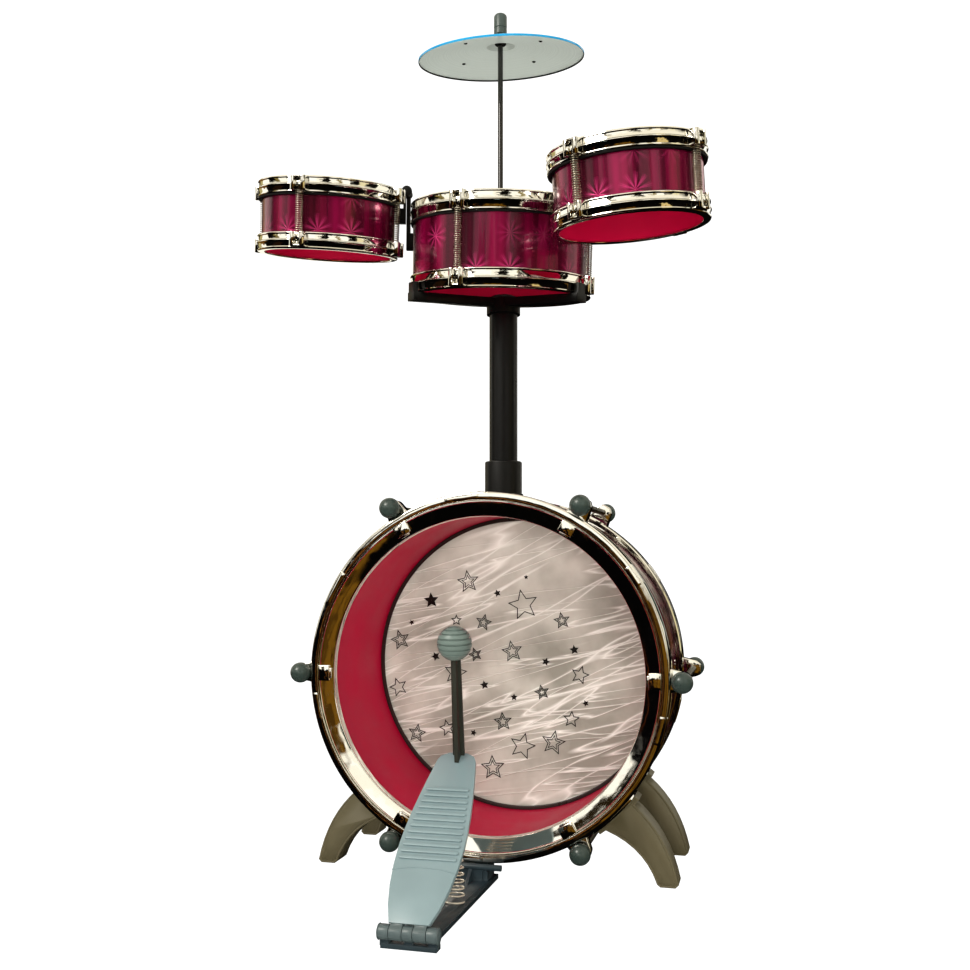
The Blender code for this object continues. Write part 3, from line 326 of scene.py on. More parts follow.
def holographic_film(name, burst, deep, middle, bright, petals=10):
    """Polyester film over embossed foil: bursts on a square grid, each turned by chance, with painted pink
    glints on the rays of bursts picked by chance.
    """
    made, tree, shader = surface(name, Metallic=0.55, Roughness=0.26, Coat_Weight=0.5, Coat_Roughness=0.06)
    wrap = add(tree, "ShaderNodeUVMap", uv_map="wrap").outputs[0]
    cells = add(tree, "ShaderNodeVectorMath", {0: wrap, 1: (1 / burst, 1 / burst, 0)}, operation="MULTIPLY")
    number = add(tree, "ShaderNodeVectorMath", {0: cells.outputs[0]}, operation="FLOOR")
    inside = add(tree, "ShaderNodeVectorMath", {0: cells.outputs[0]}, operation="FRACTION")
    chance = add(tree, "ShaderNodeTexWhiteNoise", {"Vector": number.outputs[0]},
                 noise_dimensions="2D").outputs[0]
    centred = add(tree, "ShaderNodeVectorMath", {0: inside.outputs[0], 1: (0.5, 0.5, 0)},
                  operation="SUBTRACT")
    reach = add(tree, "ShaderNodeVectorMath", {0: centred.outputs[0]}, operation="LENGTH").outputs["Value"]
    parts = add(tree, "ShaderNodeSeparateXYZ", {0: centred.outputs[0]})
    angle = maths(tree, "ARCTAN2", parts.outputs[1], parts.outputs[0])
    swing = maths(tree, "MULTIPLY", maths(tree, "ADD", angle, chance), petals / 2)
    petal = maths(tree, "POWER", maths(tree, "ABSOLUTE", maths(tree, "COSINE", swing)), 3.0)
    fine = maths(tree, "SINE", maths(tree, "MULTIPLY", angle, petals * 5.0))
    rays = maths(tree, "MULTIPLY_ADD", fine, 0.35, 0.65)
    fade = ranged(tree, reach, 0.02, 0.48, 1.0, 0.0)
    chosen = ranged(tree, chance, 0.45, 0.95)
    # painted glint: the rays of the chosen bursts take the bright colour whatever the light
    lit = maths(tree, "MULTIPLY", maths(tree, "MULTIPLY", petal, rays),
                maths(tree, "MULTIPLY", fade, chosen))
    tall = add(tree, "ShaderNodeVectorMath", {0: wrap, 1: (46.0, 1.5, 0)}, operation="MULTIPLY")
    ground = toned(tree, noisy(tree, tall.outputs[0], 1.0, 3.0), 0.38, linear(deep), 0.64, linear(middle))
    tree.links.new(blended(tree, lit, ground, linear(bright)), shader.inputs["Base Color"])
    bumped(tree, shader, lit, 0.3, 0.0006)
    return made


def moulded(name, colour, roughness, grain=0.0006, depth=0.00004, **inputs):
    """Injection-moulded plastic: one colour through, faint flow marks and the mould's fine grain."""
    made, tree, shader = surface(name, Roughness=roughness, **inputs)
    place = on_object(tree)
    flow = noisy(tree, place, 22.0, 3.0)
    shade = linear(colour)[:3]
    dim, full = [0.93 * c for c in shade] + [1.0], [min(1.0, 1.05 * c) for c in shade] + [1.0]
    tree.links.new(toned(tree, flow, 0.3, dim, 0.7, full), shader.inputs["Base Color"])
    tree.links.new(ranged(tree, flow, 0.3, 0.7, roughness - 0.05, roughness + 0.07),
                   shader.inputs["Roughness"])
    bumped(tree, shader, noisy(tree, place, 1 / grain, 2.0), 0.5, depth)
    return made


burst_size = math.tau * bass_radius / round(math.tau * bass_radius / BURST)
bass_film = holographic_film("crimson_holographic_film", burst_size, "3c0220", "8a0a4a", "f0459a")
crimson_plastic = moulded("crimson_styrene", "b40540", 0.45, Specular_IOR_Level=0.2)
shell_profile = [(bass_radius, 0.0), (bass_radius, bass_length), (bass_radius - SHELL_WALL, bass_length),
                 (bass_radius - SHELL_WALL, 0.0)]
piece("bass_drum_shell", turned(shell_profile, 200, finishes=[0, 1, 1, 1]), [bass_film, crimson_plastic],
      "stand", bass_place, ["bass_shell"])


# ---- bass drum hoops ---------------------------------------------------------------------------
# Moulded hoops with bright chrome plating: a flat rolled edge, a groove, a dished ring that leads
# down to the inner lip, ears for the tension rods, and claws and tabs that stand proud.
HOOP_WALL = 0.004
RIM_WIDTH = 0.0224
EDGE_BAND = 0.0075
EAR_REACH = 0.0175
EAR_DEPTH = 0.011
EAR_SETBACK = 0.0100
EAR_ROOT = 0.022
EAR_TIP = 0.014
FACE_INSET = 0.0003         # the claws, not the edge, are the foremost part of the hoop
HOOP_DEPTH = 0.026
REAR_SETBACK = 0.0125       # from the rear legs' back to the rear hoop's face
CLAW = (0.011, 0.0146, 0.0018)      # along the radius, across, and proud of the face
LEG_PADS = ((-38.5, -54.5), (-141.5, -125.5))
front_low, front_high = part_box("bass_front_hoop")
hoop_radius = (front_high.z - front_low.z) / 2
front_face = front_low.y + FACE_INSET
ROD_ANGLES = (0, 60, 120, 180, 240, 300)


def chrome(name, tint="f2f0ea", roughness=0.045):
    """Chromium over nickel on ABS: a mirror, a little wavy where the moulding shrank."""
    made, tree, shader = surface(name, Metallic=1.0, Roughness=roughness, Base_Color=linear(tint))
    place = on_object(tree)
    bumped(tree, shader, noisy(tree, place, 34.0, 1.5), 0.35, 0.0012)
    haze = ranged(tree, noisy(tree, place, 140.0, 4.0), 0.45, 0.8, roughness, roughness + 0.1)
    tree.links.new(haze, shader.inputs["Roughness"])
    return made


def prism(outline, bottom, top):
    """Extrude a flat outline of (x, y) points along Z."""
    shape = bmesh.new()
    face = shape.faces.new([shape.verts.new((x, y, bottom)) for x, y in outline])
    grown = bmesh.ops.extrude_face_region(shape, geom=[face])
    moved = [item for item in grown["geom"] if isinstance(item, bmesh.types.BMVert)]
    bmesh.ops.translate(shape, verts=moved, vec=(0, 0, top - bottom))
    return shape


def block(low, high):
    return prism([(low[0], low[1]), (high[0], low[1]), (high[0], high[1]), (low[0], high[1])], low[2],
                 high[2])


def softened(shape, width, steps=2, sharper_than=30):
    """Round the shape's edges."""
    bmesh.ops.recalc_face_normals(shape, faces=shape.faces)
    limit = math.radians(sharper_than)
    edges = [edge for edge in shape.edges
             if len(edge.link_faces) == 2 and edge.calc_face_angle(0.0) > limit]
    bmesh.ops.bevel(shape, geom=edges, offset=width, offset_type="OFFSET", segments=steps, profile=0.5,
                    affect="EDGES", clamp_overlap=True)
    return shape


def placed(shape, place):
    bmesh.ops.transform(shape, matrix=place, verts=shape.verts)
    return shape


def gathered(shapes):
    """Several shapes as one."""
    whole = bmesh.new()
    for shape in shapes:
        bmesh.ops.recalc_face_normals(shape, faces=shape.faces)
        step = bpy.data.meshes.new("step")
        shape.to_mesh(step)
        shape.free()
        whole.from_mesh(step)
        bpy.data.meshes.remove(step)
    return whole


def turn(angle, axis="Z"):
    return Matrix.Rotation(math.radians(angle), 4, axis)


def shift(x=0.0, y=0.0, z=0.0):
    return Matrix.Translation((x, y, z))


def sector(inner, outer, start, end, bottom, top, steps=10):
    """A block bent round the Z axis."""
    arc_out = [polar(outer, start + (end - start) * step / steps) for step in range(steps + 1)]
    arc_in = [polar(inner, end + (start - end) * step / steps) for step in range(steps + 1)]
    return prism(arc_out + arc_in, bottom, top)


def round_corner(centre, radius, start, end, steps=4):
    """Points of a rounded corner in a turned profile."""
    points = []
    for step in range(steps + 1):
        across, up = polar(radius, start + (end - start) * step / steps)
        points.append((centre[0] + across, centre[1] + up))
    return points


def bass_hoop_profile(depth, lip):
    """(radius, depth behind the face), from the outside's back round to the inside's back."""
    outer, inner = hoop_radius, hoop_radius - RIM_WIDTH
    points = [(outer - 0.0012, depth), (outer - 0.0001, depth - 0.0011), (outer, depth * 0.72),
              (outer - 0.0009, depth * 0.70), (outer - 0.0009, depth * 0.66), (outer, depth * 0.64)]
    points += round_corner((outer - 0.0021, 0.0021), 0.0021, 0, -90)
    points += round_corner((outer - EDGE_BAND + 0.0006, 0.0006), 0.0006, -90, -180, 3)
    points += [(outer - EDGE_BAND - 0.0002, 0.0016)]
    points += round_corner((outer - EDGE_BAND - 0.0011, 0.0013), 0.0007, -30, -150, 3)
    points += [(outer - EDGE_BAND - 0.0022, 0.0019)]
    points += round_corner((inner + 0.0016, 0.0058), 0.0016, -102, -180, 5)
    points += [(inner, 0.0060 + lip), (inner + 0.0018, 0.0062 + lip), (inner + 0.0022, 0.0064),
               (outer - HOOP_WALL, 0.0050), (outer - HOOP_WALL, depth)]
    return points


def bass_hoop(name, depth, lip, pads, facing, place, stands_for):
    """The hoop with its ears, claws, seam covers and leg pads; facing is -1 for the rear hoop."""
    shapes = [turned(bass_hoop_profile(depth, lip), 256)]
    claw_top = hoop_radius - EDGE_BAND - 0.0006
    for angle in ROD_ANGLES:
        here = turn(-angle * facing)
        root, tip = hoop_radius - HOOP_WALL * 0.5, hoop_radius + EAR_REACH
        ear = prism([(root, -EAR_ROOT / 2), (tip - 0.004, -EAR_TIP / 2 - 0.0008),
                     (tip, -EAR_TIP / 2 + 0.003),
                     (tip, EAR_TIP / 2 - 0.003), (tip - 0.004, EAR_TIP / 2 + 0.0008), (root, EAR_ROOT / 2)],
                    EAR_SETBACK, EAR_SETBACK + EAR_DEPTH)
        shapes.append(placed(softened(ear, 0.0011, 3), here))
        claw = block((claw_top - CLAW[0], -CLAW[1] / 2, -CLAW[2] + 0.0016),
                     (claw_top, CLAW[1] / 2, 0.0055))
        shapes.append(placed(softened(claw, 0.0007, 3), here))
        step = block((claw_top - CLAW[0] - 0.0016, -CLAW[1] * 0.33, 0.0012),
                     (claw_top - CLAW[0] + 0.001, CLAW[1] * 0.33, 0.0055))
        shapes.append(placed(softened(step, 0.0005, 2), here))
    for start, end in LEG_PADS:
        pad = sector(hoop_radius - 0.001, hoop_radius + 0.0023, -start * facing, -end * facing, *pads)
        shapes.append(softened(pad, 0.0006, 2))
    # thin plates snapped over the hoop's seams, outside and on the face
    for angle, half in ((151, 6.0), (191, 4.4), (-15, 4.4), (97, 5.6), (34, 3.4), (-95, 5.0)):
        cover = sector(hoop_radius - 0.0004, hoop_radius + 0.0007, -(angle - half) * facing,
                       -(angle + half) * facing, 0.0036, 0.0092)
        shapes.append(softened(cover, 0.0004, 2))
        lid = sector(hoop_radius - 0.0062, hoop_radius - 0.0016, -(angle - half) * facing,
                     -(angle + half) * facing, -0.0006, 0.0008)
        shapes.append(softened(lid, 0.0003, 2))
    return piece(name, gathered(shapes), [chrome(f"{name}_chromed_abs")], "stand",
                 place, stands_for)


front_place = shift(DRUM_CENTRE.x, front_face, DRUM_CENTRE.z) @ turn(-90, "X")
rear_place = shift(DRUM_CENTRE.x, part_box("rear_left_leg")[1].y - REAR_SETBACK, DRUM_CENTRE.z) @ turn(90,
                                                                                                     "X")
bass_hoop("front_bass_hoop", HOOP_DEPTH, 0.006, (0.012, 0.056), 1, front_place, ["bass_front_hoop"])
bass_hoop("rear_bass_hoop", HOOP_DEPTH, 0.0, (-0.0125, 0.026), -1, rear_place, ["bass_rear_hoop"])


# ---- bass drum head ----------------------------------------------------------------------------
# A sheet of clear film behind the open drum, never quite tight, so that long creases run across it; the
# light they scatter is painted on as white highlights along their crests. Stars are printed on it in black.
# A plastic ring holds its edge.
head_low, head_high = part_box("bass_head")
HEAD_LEVEL = (head_low.y + head_high.y) / 2
head_radius = bass_radius - SHELL_WALL
CREASE_TURN = 17.0      # degrees that the creases climb to the right
CREASE_DEPTH = 0.0006


def crease(x, z):
    """How far the film stands back at a point of the head."""
    reach = math.hypot(x, z) / head_radius
    along = x * math.cos(math.radians(CREASE_TURN)) + z * math.sin(math.radians(CREASE_TURN))
    across = -x * math.sin(math.radians(CREASE_TURN)) + z * math.cos(math.radians(CREASE_TURN))
    broad = noise.noise(Vector((along * 9, across * 42, 3.1)))
    fine = noise.noise(Vector((along * 22, across * 120, 8.4)))
    ridge = 1 - abs(noise.noise(Vector((along * 7, across * 60 + 4 * broad, 1.7))))
    calm = max(0.0, 1 - reach ** 6)
    return CREASE_DEPTH * calm * (0.75 * broad + 0.3 * fine + 0.55 * ridge ** 6)


def film_sheet():
    shape = bmesh.new()
    rings, around = 90, 220
    layers = []
    for face_side in (0.0, 0.0003):
        centre = shape.verts.new((0, HEAD_LEVEL + face_side + crease(0, 0), 0))
        rows = [[centre] * around]
        for ring in range(1, rings + 1):
            row = []
            for step in range(around):
                x, z = polar(head_radius * ring / rings, 360 * step / around)
                row.append(shape.verts.new((x, HEAD_LEVEL + face_side + crease(x, z), z)))
            rows.append(row)
        layers.append(rows)
        for inner, outer in zip(rows, rows[1:]):
            for step in range(around):
                after = (step + 1) % around
                corners = [inner[step], outer[step], outer[after]]
                if inner[after] is not inner[step]:
                    corners.append(inner[after])
                shape.faces.new(corners)
    for step in range(around):
        after = (step + 1) % around
        shape.faces.new((layers[0][-1][step], layers[0][-1][after], layers[1][-1][after],
                         layers[1][-1][step]))
    return shape


def creased_film():
    """Clear polyester film with the room's light behind it: milky, with painted white highlights along the
    creases.
    """
    made, tree, shader = surface("creased_polyester_film", Roughness=0.45, IOR=1.2,
                                 Transmission_Weight=0.22,
                                 Coat_Weight=0.25, Coat_Roughness=0.12)
    place = on_object(tree)
    height = None
    for lean, run, pitch, sharp in ((CREASE_TURN, 0.42, 0.024, 13.0), (CREASE_TURN + 12, 0.34, 0.034, 20.0),
                                    (CREASE_TURN - 9, 0.28, 0.018, 16.0)):
        lay = add(tree, "ShaderNodeMapping", {"Vector": place, "Rotation": (0, math.radians(-lean), 0),
                                              "Scale": (run, run, pitch)}, vector_type="TEXTURE")
        fold = add(tree, "ShaderNodeTexNoise", {"Vector": lay.outputs[0], "Scale": 1.0, "Detail": 2.0,
                                                "Roughness": 0.5, "Distortion": 0.03})
        level = maths(tree, "ABSOLUTE", ranged(tree, fold.outputs[0], 0.0, 1.0, -1.0, 1.0))
        crest = maths(tree, "POWER", maths(tree, "SUBTRACT", 1.0, level), sharp * 2)
        height = crest if height is None else maths(tree, "MAXIMUM", height, crest)
    tone = toned(tree, noisy(tree, place, 16.0, 4.0), 0.35, linear("9a9b92"), 0.68, linear("d3d4cc"))
    # painted highlight: the crests of the creases are painted near white in the base colour
    white = ranged(tree, height, 0.35, 1.0, 0.0, 0.9)
    tree.links.new(blended(tree, white, tone, linear("f3f5f0")), shader.inputs["Base Color"])
    bumped(tree, shader, height, 0.7, 0.0009)
    return made


film = creased_film()
piece("bass_film", film_sheet(), [film], "stand",
      shift(DRUM_CENTRE.x, 0, DRUM_CENTRE.z),
      ["bass_head"], smooth=180)

black_ink = moulded("black_screen_ink", "0b0a0a", 0.45)
# (across, up, reach, turn, kind) of each star from the middle of the head, in millimetres and degrees
STARS = (
    (-56, 85, 12.7, 8, "double"), (-39, 42, 9.5, -12, "double"), (45, 45, 9.3, 10, "double"),
    (-132, 22, 11.5, 15, "double"), (-113, -78, 10.7, -8, "double"), (-18, -62, 10.5, 6, "double"),
    (36, -82, 13.5, -10, "double"), (-29, -111, 13.7, 4, "double"), (4, 61, 16.8, 12, "single"),
    (-69, 44, 6.4, 0, "single"), (-134, -29, 10.8, 20, "single"), (64, -11, 10.3, -16, "single"),
    (-79, -71, 9.6, 14, "single"), (55, -57, 9.3, -4, "single"), (3, -87, 14.7, -14, "single"),
    (-97, 65, 8.6, 5, "solid"), (-24, 73, 4.2, 20, "solid"), (7, 90, 2.6, 0, "solid"),
    (-119, 41, 3.2, 30, "solid"), (58, 15, 5.2, 8, "solid"), (70, -40, 3.6, 22, "solid"),
    (-50, -75, 3.7, -20, "solid"), (-8, 12, 12.0, 10, "double"), (-70, -12, 13.5, -9, "single"),
    (-38, -24, 5.0, 12, "solid"), (24, -30, 8.5, 14, "double"), (-6, -36, 4.0, 0, "solid"),
    (-92, 5, 5.2, 25, "solid"), (28, 2, 4.6, -18, "solid"), (-48, 8, 8.0, 18, "double"),
)
STAR_WAIST = 0.46
INK = 0.00012


def star_points(reach, angle):
    points = []
    for corner in range(10):
        radius = reach if corner % 2 == 0 else reach * STAR_WAIST
        points.append(polar(radius, 90 + angle + 36 * corner))
    return points


def star_band(centre, outer, inner, angle):
    """A printed line, or a filled star where inner is 0, that follows the film."""
    shape = bmesh.new()
    steps = 5
    rows = []
    for reach in (outer, inner):
        corners = star_points(max(reach, 0.0002), angle)
        row = []
        for start, end in zip(corners, corners[1:] + corners[:1]):
            for step in range(steps):
                part = step / steps
                row.append((centre[0] + start[0] + (end[0] - start[0]) * part,
                            centre[1] + start[1] + (end[1] - start[1]) * part))
        rows.append(row)
    levels = []
    for lift in (0.00035, 0.00035 + INK):
        levels.append([[shape.verts.new((x, HEAD_LEVEL + crease(x, z) - lift, z)) for x,
                        z in row] for row in rows])
    count = len(rows[0])
    for step in range(count):
        after = (step + 1) % count
        for level in levels:
            shape.faces.new((level[0][step], level[0][after], level[1][after], level[1][step]))
        for row in (0, 1):
            shape.faces.new((levels[0][row][step], levels[0][row][after], levels[1][row][after],
                             levels[1][row][step]))
    return shape


bands_of_ink = []
for across, up, reach, angle, kind in STARS:
    centre, size = (across / 1000, up / 1000), reach / 1000
    line = 0.0014
    if kind == "solid":
        bands_of_ink.append(star_band(centre, size, 0.0, angle))
        continue
    bands_of_ink.append(star_band(centre, size, size - line * 1.6, angle))
    if kind == "double":
        bands_of_ink.append(star_band(centre, size * 0.62, size * 0.62 - line * 1.3, angle))
piece("printed_stars", gathered(bands_of_ink), [black_ink], "stand",
      shift(DRUM_CENTRE.x, 0, DRUM_CENTRE.z))

ring_profile = [(head_radius - 0.0002, -0.0001), (head_radius - 0.0030, -0.0001)]
ring_profile += round_corner((head_radius - 0.0030, -0.0012), 0.0011, 90, 270, 6)[1:]
ring_profile += [(head_radius - 0.0002, -0.0023)]
head_place = shift(DRUM_CENTRE.x, HEAD_LEVEL - 0.0014, DRUM_CENTRE.z) @ turn(-90, "X")
piece("head_bead", turned(ring_profile, 220), [moulded("smoke_vinyl_bead", "2c2422", 0.3)], "stand",
      head_place)


# ---- tension rods ------------------------------------------------------------------------------
# Six rods draw the two hoops together. Each is one threaded rod with a ball knob of grey-green
# plastic at either end, its neck ribbed for the fingers.
KNOB_RADIUS = 0.0097
ROD_RADIUS = 0.003
THREAD = 0.0012
knob_plastic = moulded("grey_green_abs", "313c39", 0.28, Coat_Weight=0.1)
rod_steel, rod_tree, rod_shader = surface(
    "zinc_plated_thread", Metallic=1.0, Roughness=0.3, Base_Color=linear("6d6a62"))
rod_wave = add(rod_tree, "ShaderNodeTexWave", {"Vector": on_object(rod_tree), "Scale": 1 / THREAD / 6.283,
                                               "Distortion": 0.0},
               bands_direction="Y")
bumped(rod_tree, rod_shader, rod_wave.outputs[1], 0.8, 0.0004)


def ball_knob():
    """Profile of one ball with its neck, from the pole towards the hoop."""
    points = [(0.0, -KNOB_RADIUS)]
    points += [(KNOB_RADIUS * math.cos(math.radians(a)), KNOB_RADIUS * math.sin(math.radians(a)))
               for a in range(-80, 31, 10)]
    neck = KNOB_RADIUS * 0.74
    points += [(neck, KNOB_RADIUS * 0.62), (neck, 0.0088), (neck - 0.0006, 0.0096)]
    return points


for number in range(1, 7):
    low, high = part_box(f"tension_rod_{number}")
    middle = (low + high) / 2
    ball = ball_knob()
    span = high.y - low.y - 2 * KNOB_RADIUS
    profile = ball + [(ROD_RADIUS, 0.0096)]
    profile += [(radius, span - height) for radius, height in reversed(profile)]
    shape = turned(profile, 40, closed=False,
                   finishes=[0] * (len(ball)) + [1] + [0] * (len(ball)))
    ribs = []
    for side in (0, 1):
        for rib in range(14):
            bar = block((KNOB_RADIUS * 0.66, -0.0006, 0.0058), (KNOB_RADIUS * 0.82, 0.0006, 0.0093))
            bar = placed(softened(bar, 0.0002, 1), turn(rib * 360 / 14))
            if side:
                bar = placed(bar, shift(z=span) @ turn(180, "X"))
            ribs.append(bar)
    piece(f"tension_rod_and_knobs_{number}", gathered([shape, *ribs]), [knob_plastic, rod_steel],
          f"rod_{number}",
          shift(middle.x, low.y + KNOB_RADIUS, middle.z) @ turn(-90, "X"),
          [f"tension_rod_{number}"], smooth=40)


# ---- legs --------------------------------------------------------------------------------------
# Four curved horns of olive-grey plastic, moulded hollow with a flange against the hoop's pad. A
# groove follows the edge of each flat face.
leg_plastic = moulded("olive_grey_polypropylene", "57523f", 0.42, grain=0.0009, depth=0.00008)


def copied(node):
    """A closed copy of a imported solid's mesh."""
    shape = bmesh.new()
    shape.from_mesh(frame["nodes"][node].data)
    bmesh.ops.remove_doubles(shape, verts=shape.verts, dist=1e-5)
    bmesh.ops.recalc_face_normals(shape, faces=shape.faces)
    bmesh.ops.dissolve_limit(shape, angle_limit=math.radians(0.6), verts=shape.verts, edges=shape.edges)
    return shape


for label in ("front_left_leg", "front_right_leg", "rear_left_leg", "rear_right_leg"):
    shape = copied(label)
    sides = [face for face in shape.faces if abs(face.normal.y) > 0.99]
    for thickness, depth in ((0.0015, 0.0), (0.0004, -0.0006), (0.0004, 0.0006)):
        bmesh.ops.inset_region(shape, faces=sides, thickness=thickness, depth=depth, use_even_offset=True)
    shape.normal_update()
    edges = [edge for edge in shape.edges if len(edge.link_faces) == 2
             and sum(abs(face.normal.y) > 0.99 for face in edge.link_faces) == 1
             and edge.calc_face_angle(0.0) > math.radians(70)]
    bmesh.ops.bevel(shape, geom=edges, offset=0.0011, offset_type="OFFSET", segments=3, profile=0.5,
                    affect="EDGES", clamp_overlap=True)
    piece(f"curved_{label}", shape, [leg_plastic], "stand", None, [label], smooth=30)


# ---- pole and spider ---------------------------------------------------------------------------
# A black tube stands in a stepped socket on top of the drum. The spider on its end has three flat
# arms, each with an upturned clip for the centre tom's lower hoop, and a socket for the cymbal rod.
black_plastic = moulded("black_abs", "0a0a0a", 0.36, Specular_IOR_Level=0.35)
black_tube = moulded("black_lacquered_tube", "070708", 0.3, Specular_IOR_Level=0.35)
socket_low, socket_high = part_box("pole_socket")
tube_low, tube_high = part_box("pole_tube")
pole_radius = (tube_high.x - tube_low.x) / 2
socket_radius = (socket_high.x - socket_low.x) / 2
pole_x, pole_y = (tube_low.x + tube_high.x) / 2, (tube_low.y + tube_high.y) / 2
TUBE_WALL = 0.0018
tube_length = tube_high.z - tube_low.z
tube_profile = [(pole_radius, 0.0), (pole_radius, tube_length), (pole_radius - TUBE_WALL, tube_length),
                (pole_radius - TUBE_WALL, 0.0)]
piece("pole_and_seam", turned(tube_profile, 96), [black_tube], "upper",
      shift(pole_x, pole_y, tube_low.z), ["pole_tube"])

saddle = DRUM_CENTRE.z + bass_radius
collar = socket_high.z - saddle
socket_profile = [(0.0, -0.009), (socket_radius, -0.009), (socket_radius, collar - 0.0016)]
socket_profile += round_corner((socket_radius - 0.0016, collar - 0.0016), 0.0016, 0, 90)[1:]
socket_profile += [(pole_radius + 0.0005, collar), (pole_radius + 0.0004, collar - 0.030),
                   (0.0, collar - 0.030)]
socket_shape = turned(socket_profile, 96, closed=False)
for vertex in socket_shape.verts:
    if vertex.co.z < -0.001:
        drop = math.sqrt(max(0.0, (bass_radius + 0.0004) ** 2 - vertex.co.x ** 2)) - bass_radius
        vertex.co.z = drop
socket_ribs = [softened(block((pole_radius + 0.003, -0.0011, 0.002),
                              (socket_radius + 0.0016, 0.0011, 0.016)),
                        0.0004, 2) for _ in range(10)]
socket_ribs = [placed(rib, turn(36 * number)) for number, rib in enumerate(socket_ribs)]
piece("pole_foot_socket", gathered([socket_shape, *socket_ribs]), [black_plastic], "stand",
      shift(pole_x, pole_y, saddle), ["pole_socket"])

piece("three_armed_spider", softened(copied("spider_bracket"), 0.0009, 2), [black_plastic], "upper",
      None, ["spider_bracket"])


# ---- toms --------------------------------------------------------------------------------------
# Three toms of the same make: a film-wrapped shell, open below, a white film head, and two chromed
# hoops held apart by coil springs that hook into lugs. A black gasket seats the upper hoop.
HEAD_SHEET = 0.0005
LUG_HALF = 0.0075
LUG_REACH = 0.0072
SPRING_RADIUS = 0.0040
WIRE_RADIUS = 0.00046
HOOP_STEPS = {"centre": 0.0030, "left": 0.0046, "right": 0.0046}
BODIES = {"centre": "upper", "left": "left_tom", "right": "right_tom"}


def corners_of(node):
    """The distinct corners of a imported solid."""
    return np.unique(np.round([vertex.co for vertex in frame["nodes"][node].data.vertices], 6), axis=0)


def tom_frame(label):
    """The tom's own place, from its solids: Z up its axis, X towards its first spring, lower edge at 0."""
    head = corners_of(f"{label}_tom_head")
    middle = Vector(head.mean(axis=0))
    up = Vector(np.linalg.svd(head - head.mean(axis=0), full_matrices=False)[2][2])
    up = up if up.z > 0 else -up
    spring = Vector(corners_of(f"{label}_tom_spring_1").mean(axis=0)) - middle
    across = (spring - up * spring.dot(up)).normalized()
    levels = (corners_of(f"{label}_tom_bottom_hoop") - middle) @ up
    origin = middle + up * float(levels.min())
    place = Matrix((across, up.cross(across), up)).transposed().to_4x4()
    place.translation = origin
    return place


def heights(node, place):
    """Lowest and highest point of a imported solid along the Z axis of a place."""
    local = [(place.inverted() @ Vector(point)).z for point in corners_of(node)]
    return min(local), max(local)


def reach(node, place):
    """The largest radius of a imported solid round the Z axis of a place."""
    return max((place.inverted() @ Vector(point)).to_2d().length for point in corners_of(node))


def coil_tree():
    """Coils wound on a set of points: each a spiral of round wire, standing on its point."""
    tree = bpy.data.node_groups.new("wound_coils", "GeometryNodeTree")
    tree.interface.new_socket("Points", in_out="INPUT", socket_type="NodeSocketGeometry")
    for name in ("Turns", "Foot Radius", "Top Radius", "Height", "Wire"):
        tree.interface.new_socket(name, in_out="INPUT", socket_type="NodeSocketFloat")
    tree.interface.new_socket("Finish", in_out="INPUT", socket_type="NodeSocketMaterial")
    tree.interface.new_socket("Coils", in_out="OUTPUT", socket_type="NodeSocketGeometry")
    given = add(tree, "NodeGroupInput").outputs
    spiral = add(tree, "GeometryNodeCurveSpiral", {
        "Resolution": 24, "Rotations": given["Turns"], "Start Radius": given["Foot Radius"],
        "End Radius": given["Top Radius"], "Height": given["Height"]})
    wire = add(tree, "GeometryNodeCurvePrimitiveCircle", {"Resolution": 8, "Radius": given["Wire"]})
    swept = add(tree, "GeometryNodeCurveToMesh", {"Curve": spiral.outputs[0],
                                                  "Profile Curve": wire.outputs[0],
                                                  "Fill Caps": True})
    stood = add(tree, "GeometryNodeInstanceOnPoints", {"Points": given["Points"],
                                                       "Instance": swept.outputs[0]})
    real = add(tree, "GeometryNodeRealizeInstances", {0: stood.outputs[0]})
    finished = add(tree, "GeometryNodeSetMaterial", {"Geometry": real.outputs[0],
                                                     "Material": given["Finish"]})
    add(tree, "NodeGroupOutput", {"Coils": finished.outputs[0]})
    return tree


def grown(tree, spots, **sizes):
    """The plain shape that a tree of nodes makes on a set of points."""
    cloud = bpy.data.meshes.new("spots")
    cloud.from_pydata(spots, [], [])
    holder = bpy.data.objects.new("spots", cloud)
    bpy.context.collection.objects.link(holder)
    step = holder.modifiers.new("grow", "NODES")
    step.node_group = tree
    for item in tree.interface.items_tree:
        if item.in_out == "INPUT" and item.name in sizes:
            step[item.identifier] = sizes[item.name]
    ready = holder.evaluated_get(bpy.context.evaluated_depsgraph_get())
    mesh = bpy.data.meshes.new_from_object(ready)
    bpy.data.objects.remove(holder)
    shape = bmesh.new()
    shape.from_mesh(mesh)
    bpy.data.meshes.remove(mesh)
    return shape


def spring_wire(name, metallic=1.0):
    """Nickel-plated spring wire, drawn smooth."""
    made, tree, shader = surface(name, Metallic=metallic, Base_Color=linear("cfc9bb"), Roughness=0.2)
    rough = ranged(tree, noisy(tree, on_object(tree), 300.0, 3.0), 0.0, 1.0, 0.12, 0.36)
    tree.links.new(rough, shader.inputs["Roughness"])
    return made


tom_film = holographic_film("crimson_tom_film", 0.031, "3a0118", "8c0a46", "f04a96")
tom_chrome = chrome("chromed_tom_hoop")
white_film, white_tree, white_shader = surface("white_polyester_head", Base_Color=linear("f1efea"),
                                               Roughness=0.42, Coat_Weight=0.2)
bumped(white_tree, white_shader, noisy(white_tree, on_object(white_tree), 900.0, 2.0), 0.25, 0.0001)
gasket_rubber = moulded("black_foam_gasket", "0d0c0c", 0.7)
bright_wire = spring_wire("nickel_spring_wire")
coils = coil_tree()


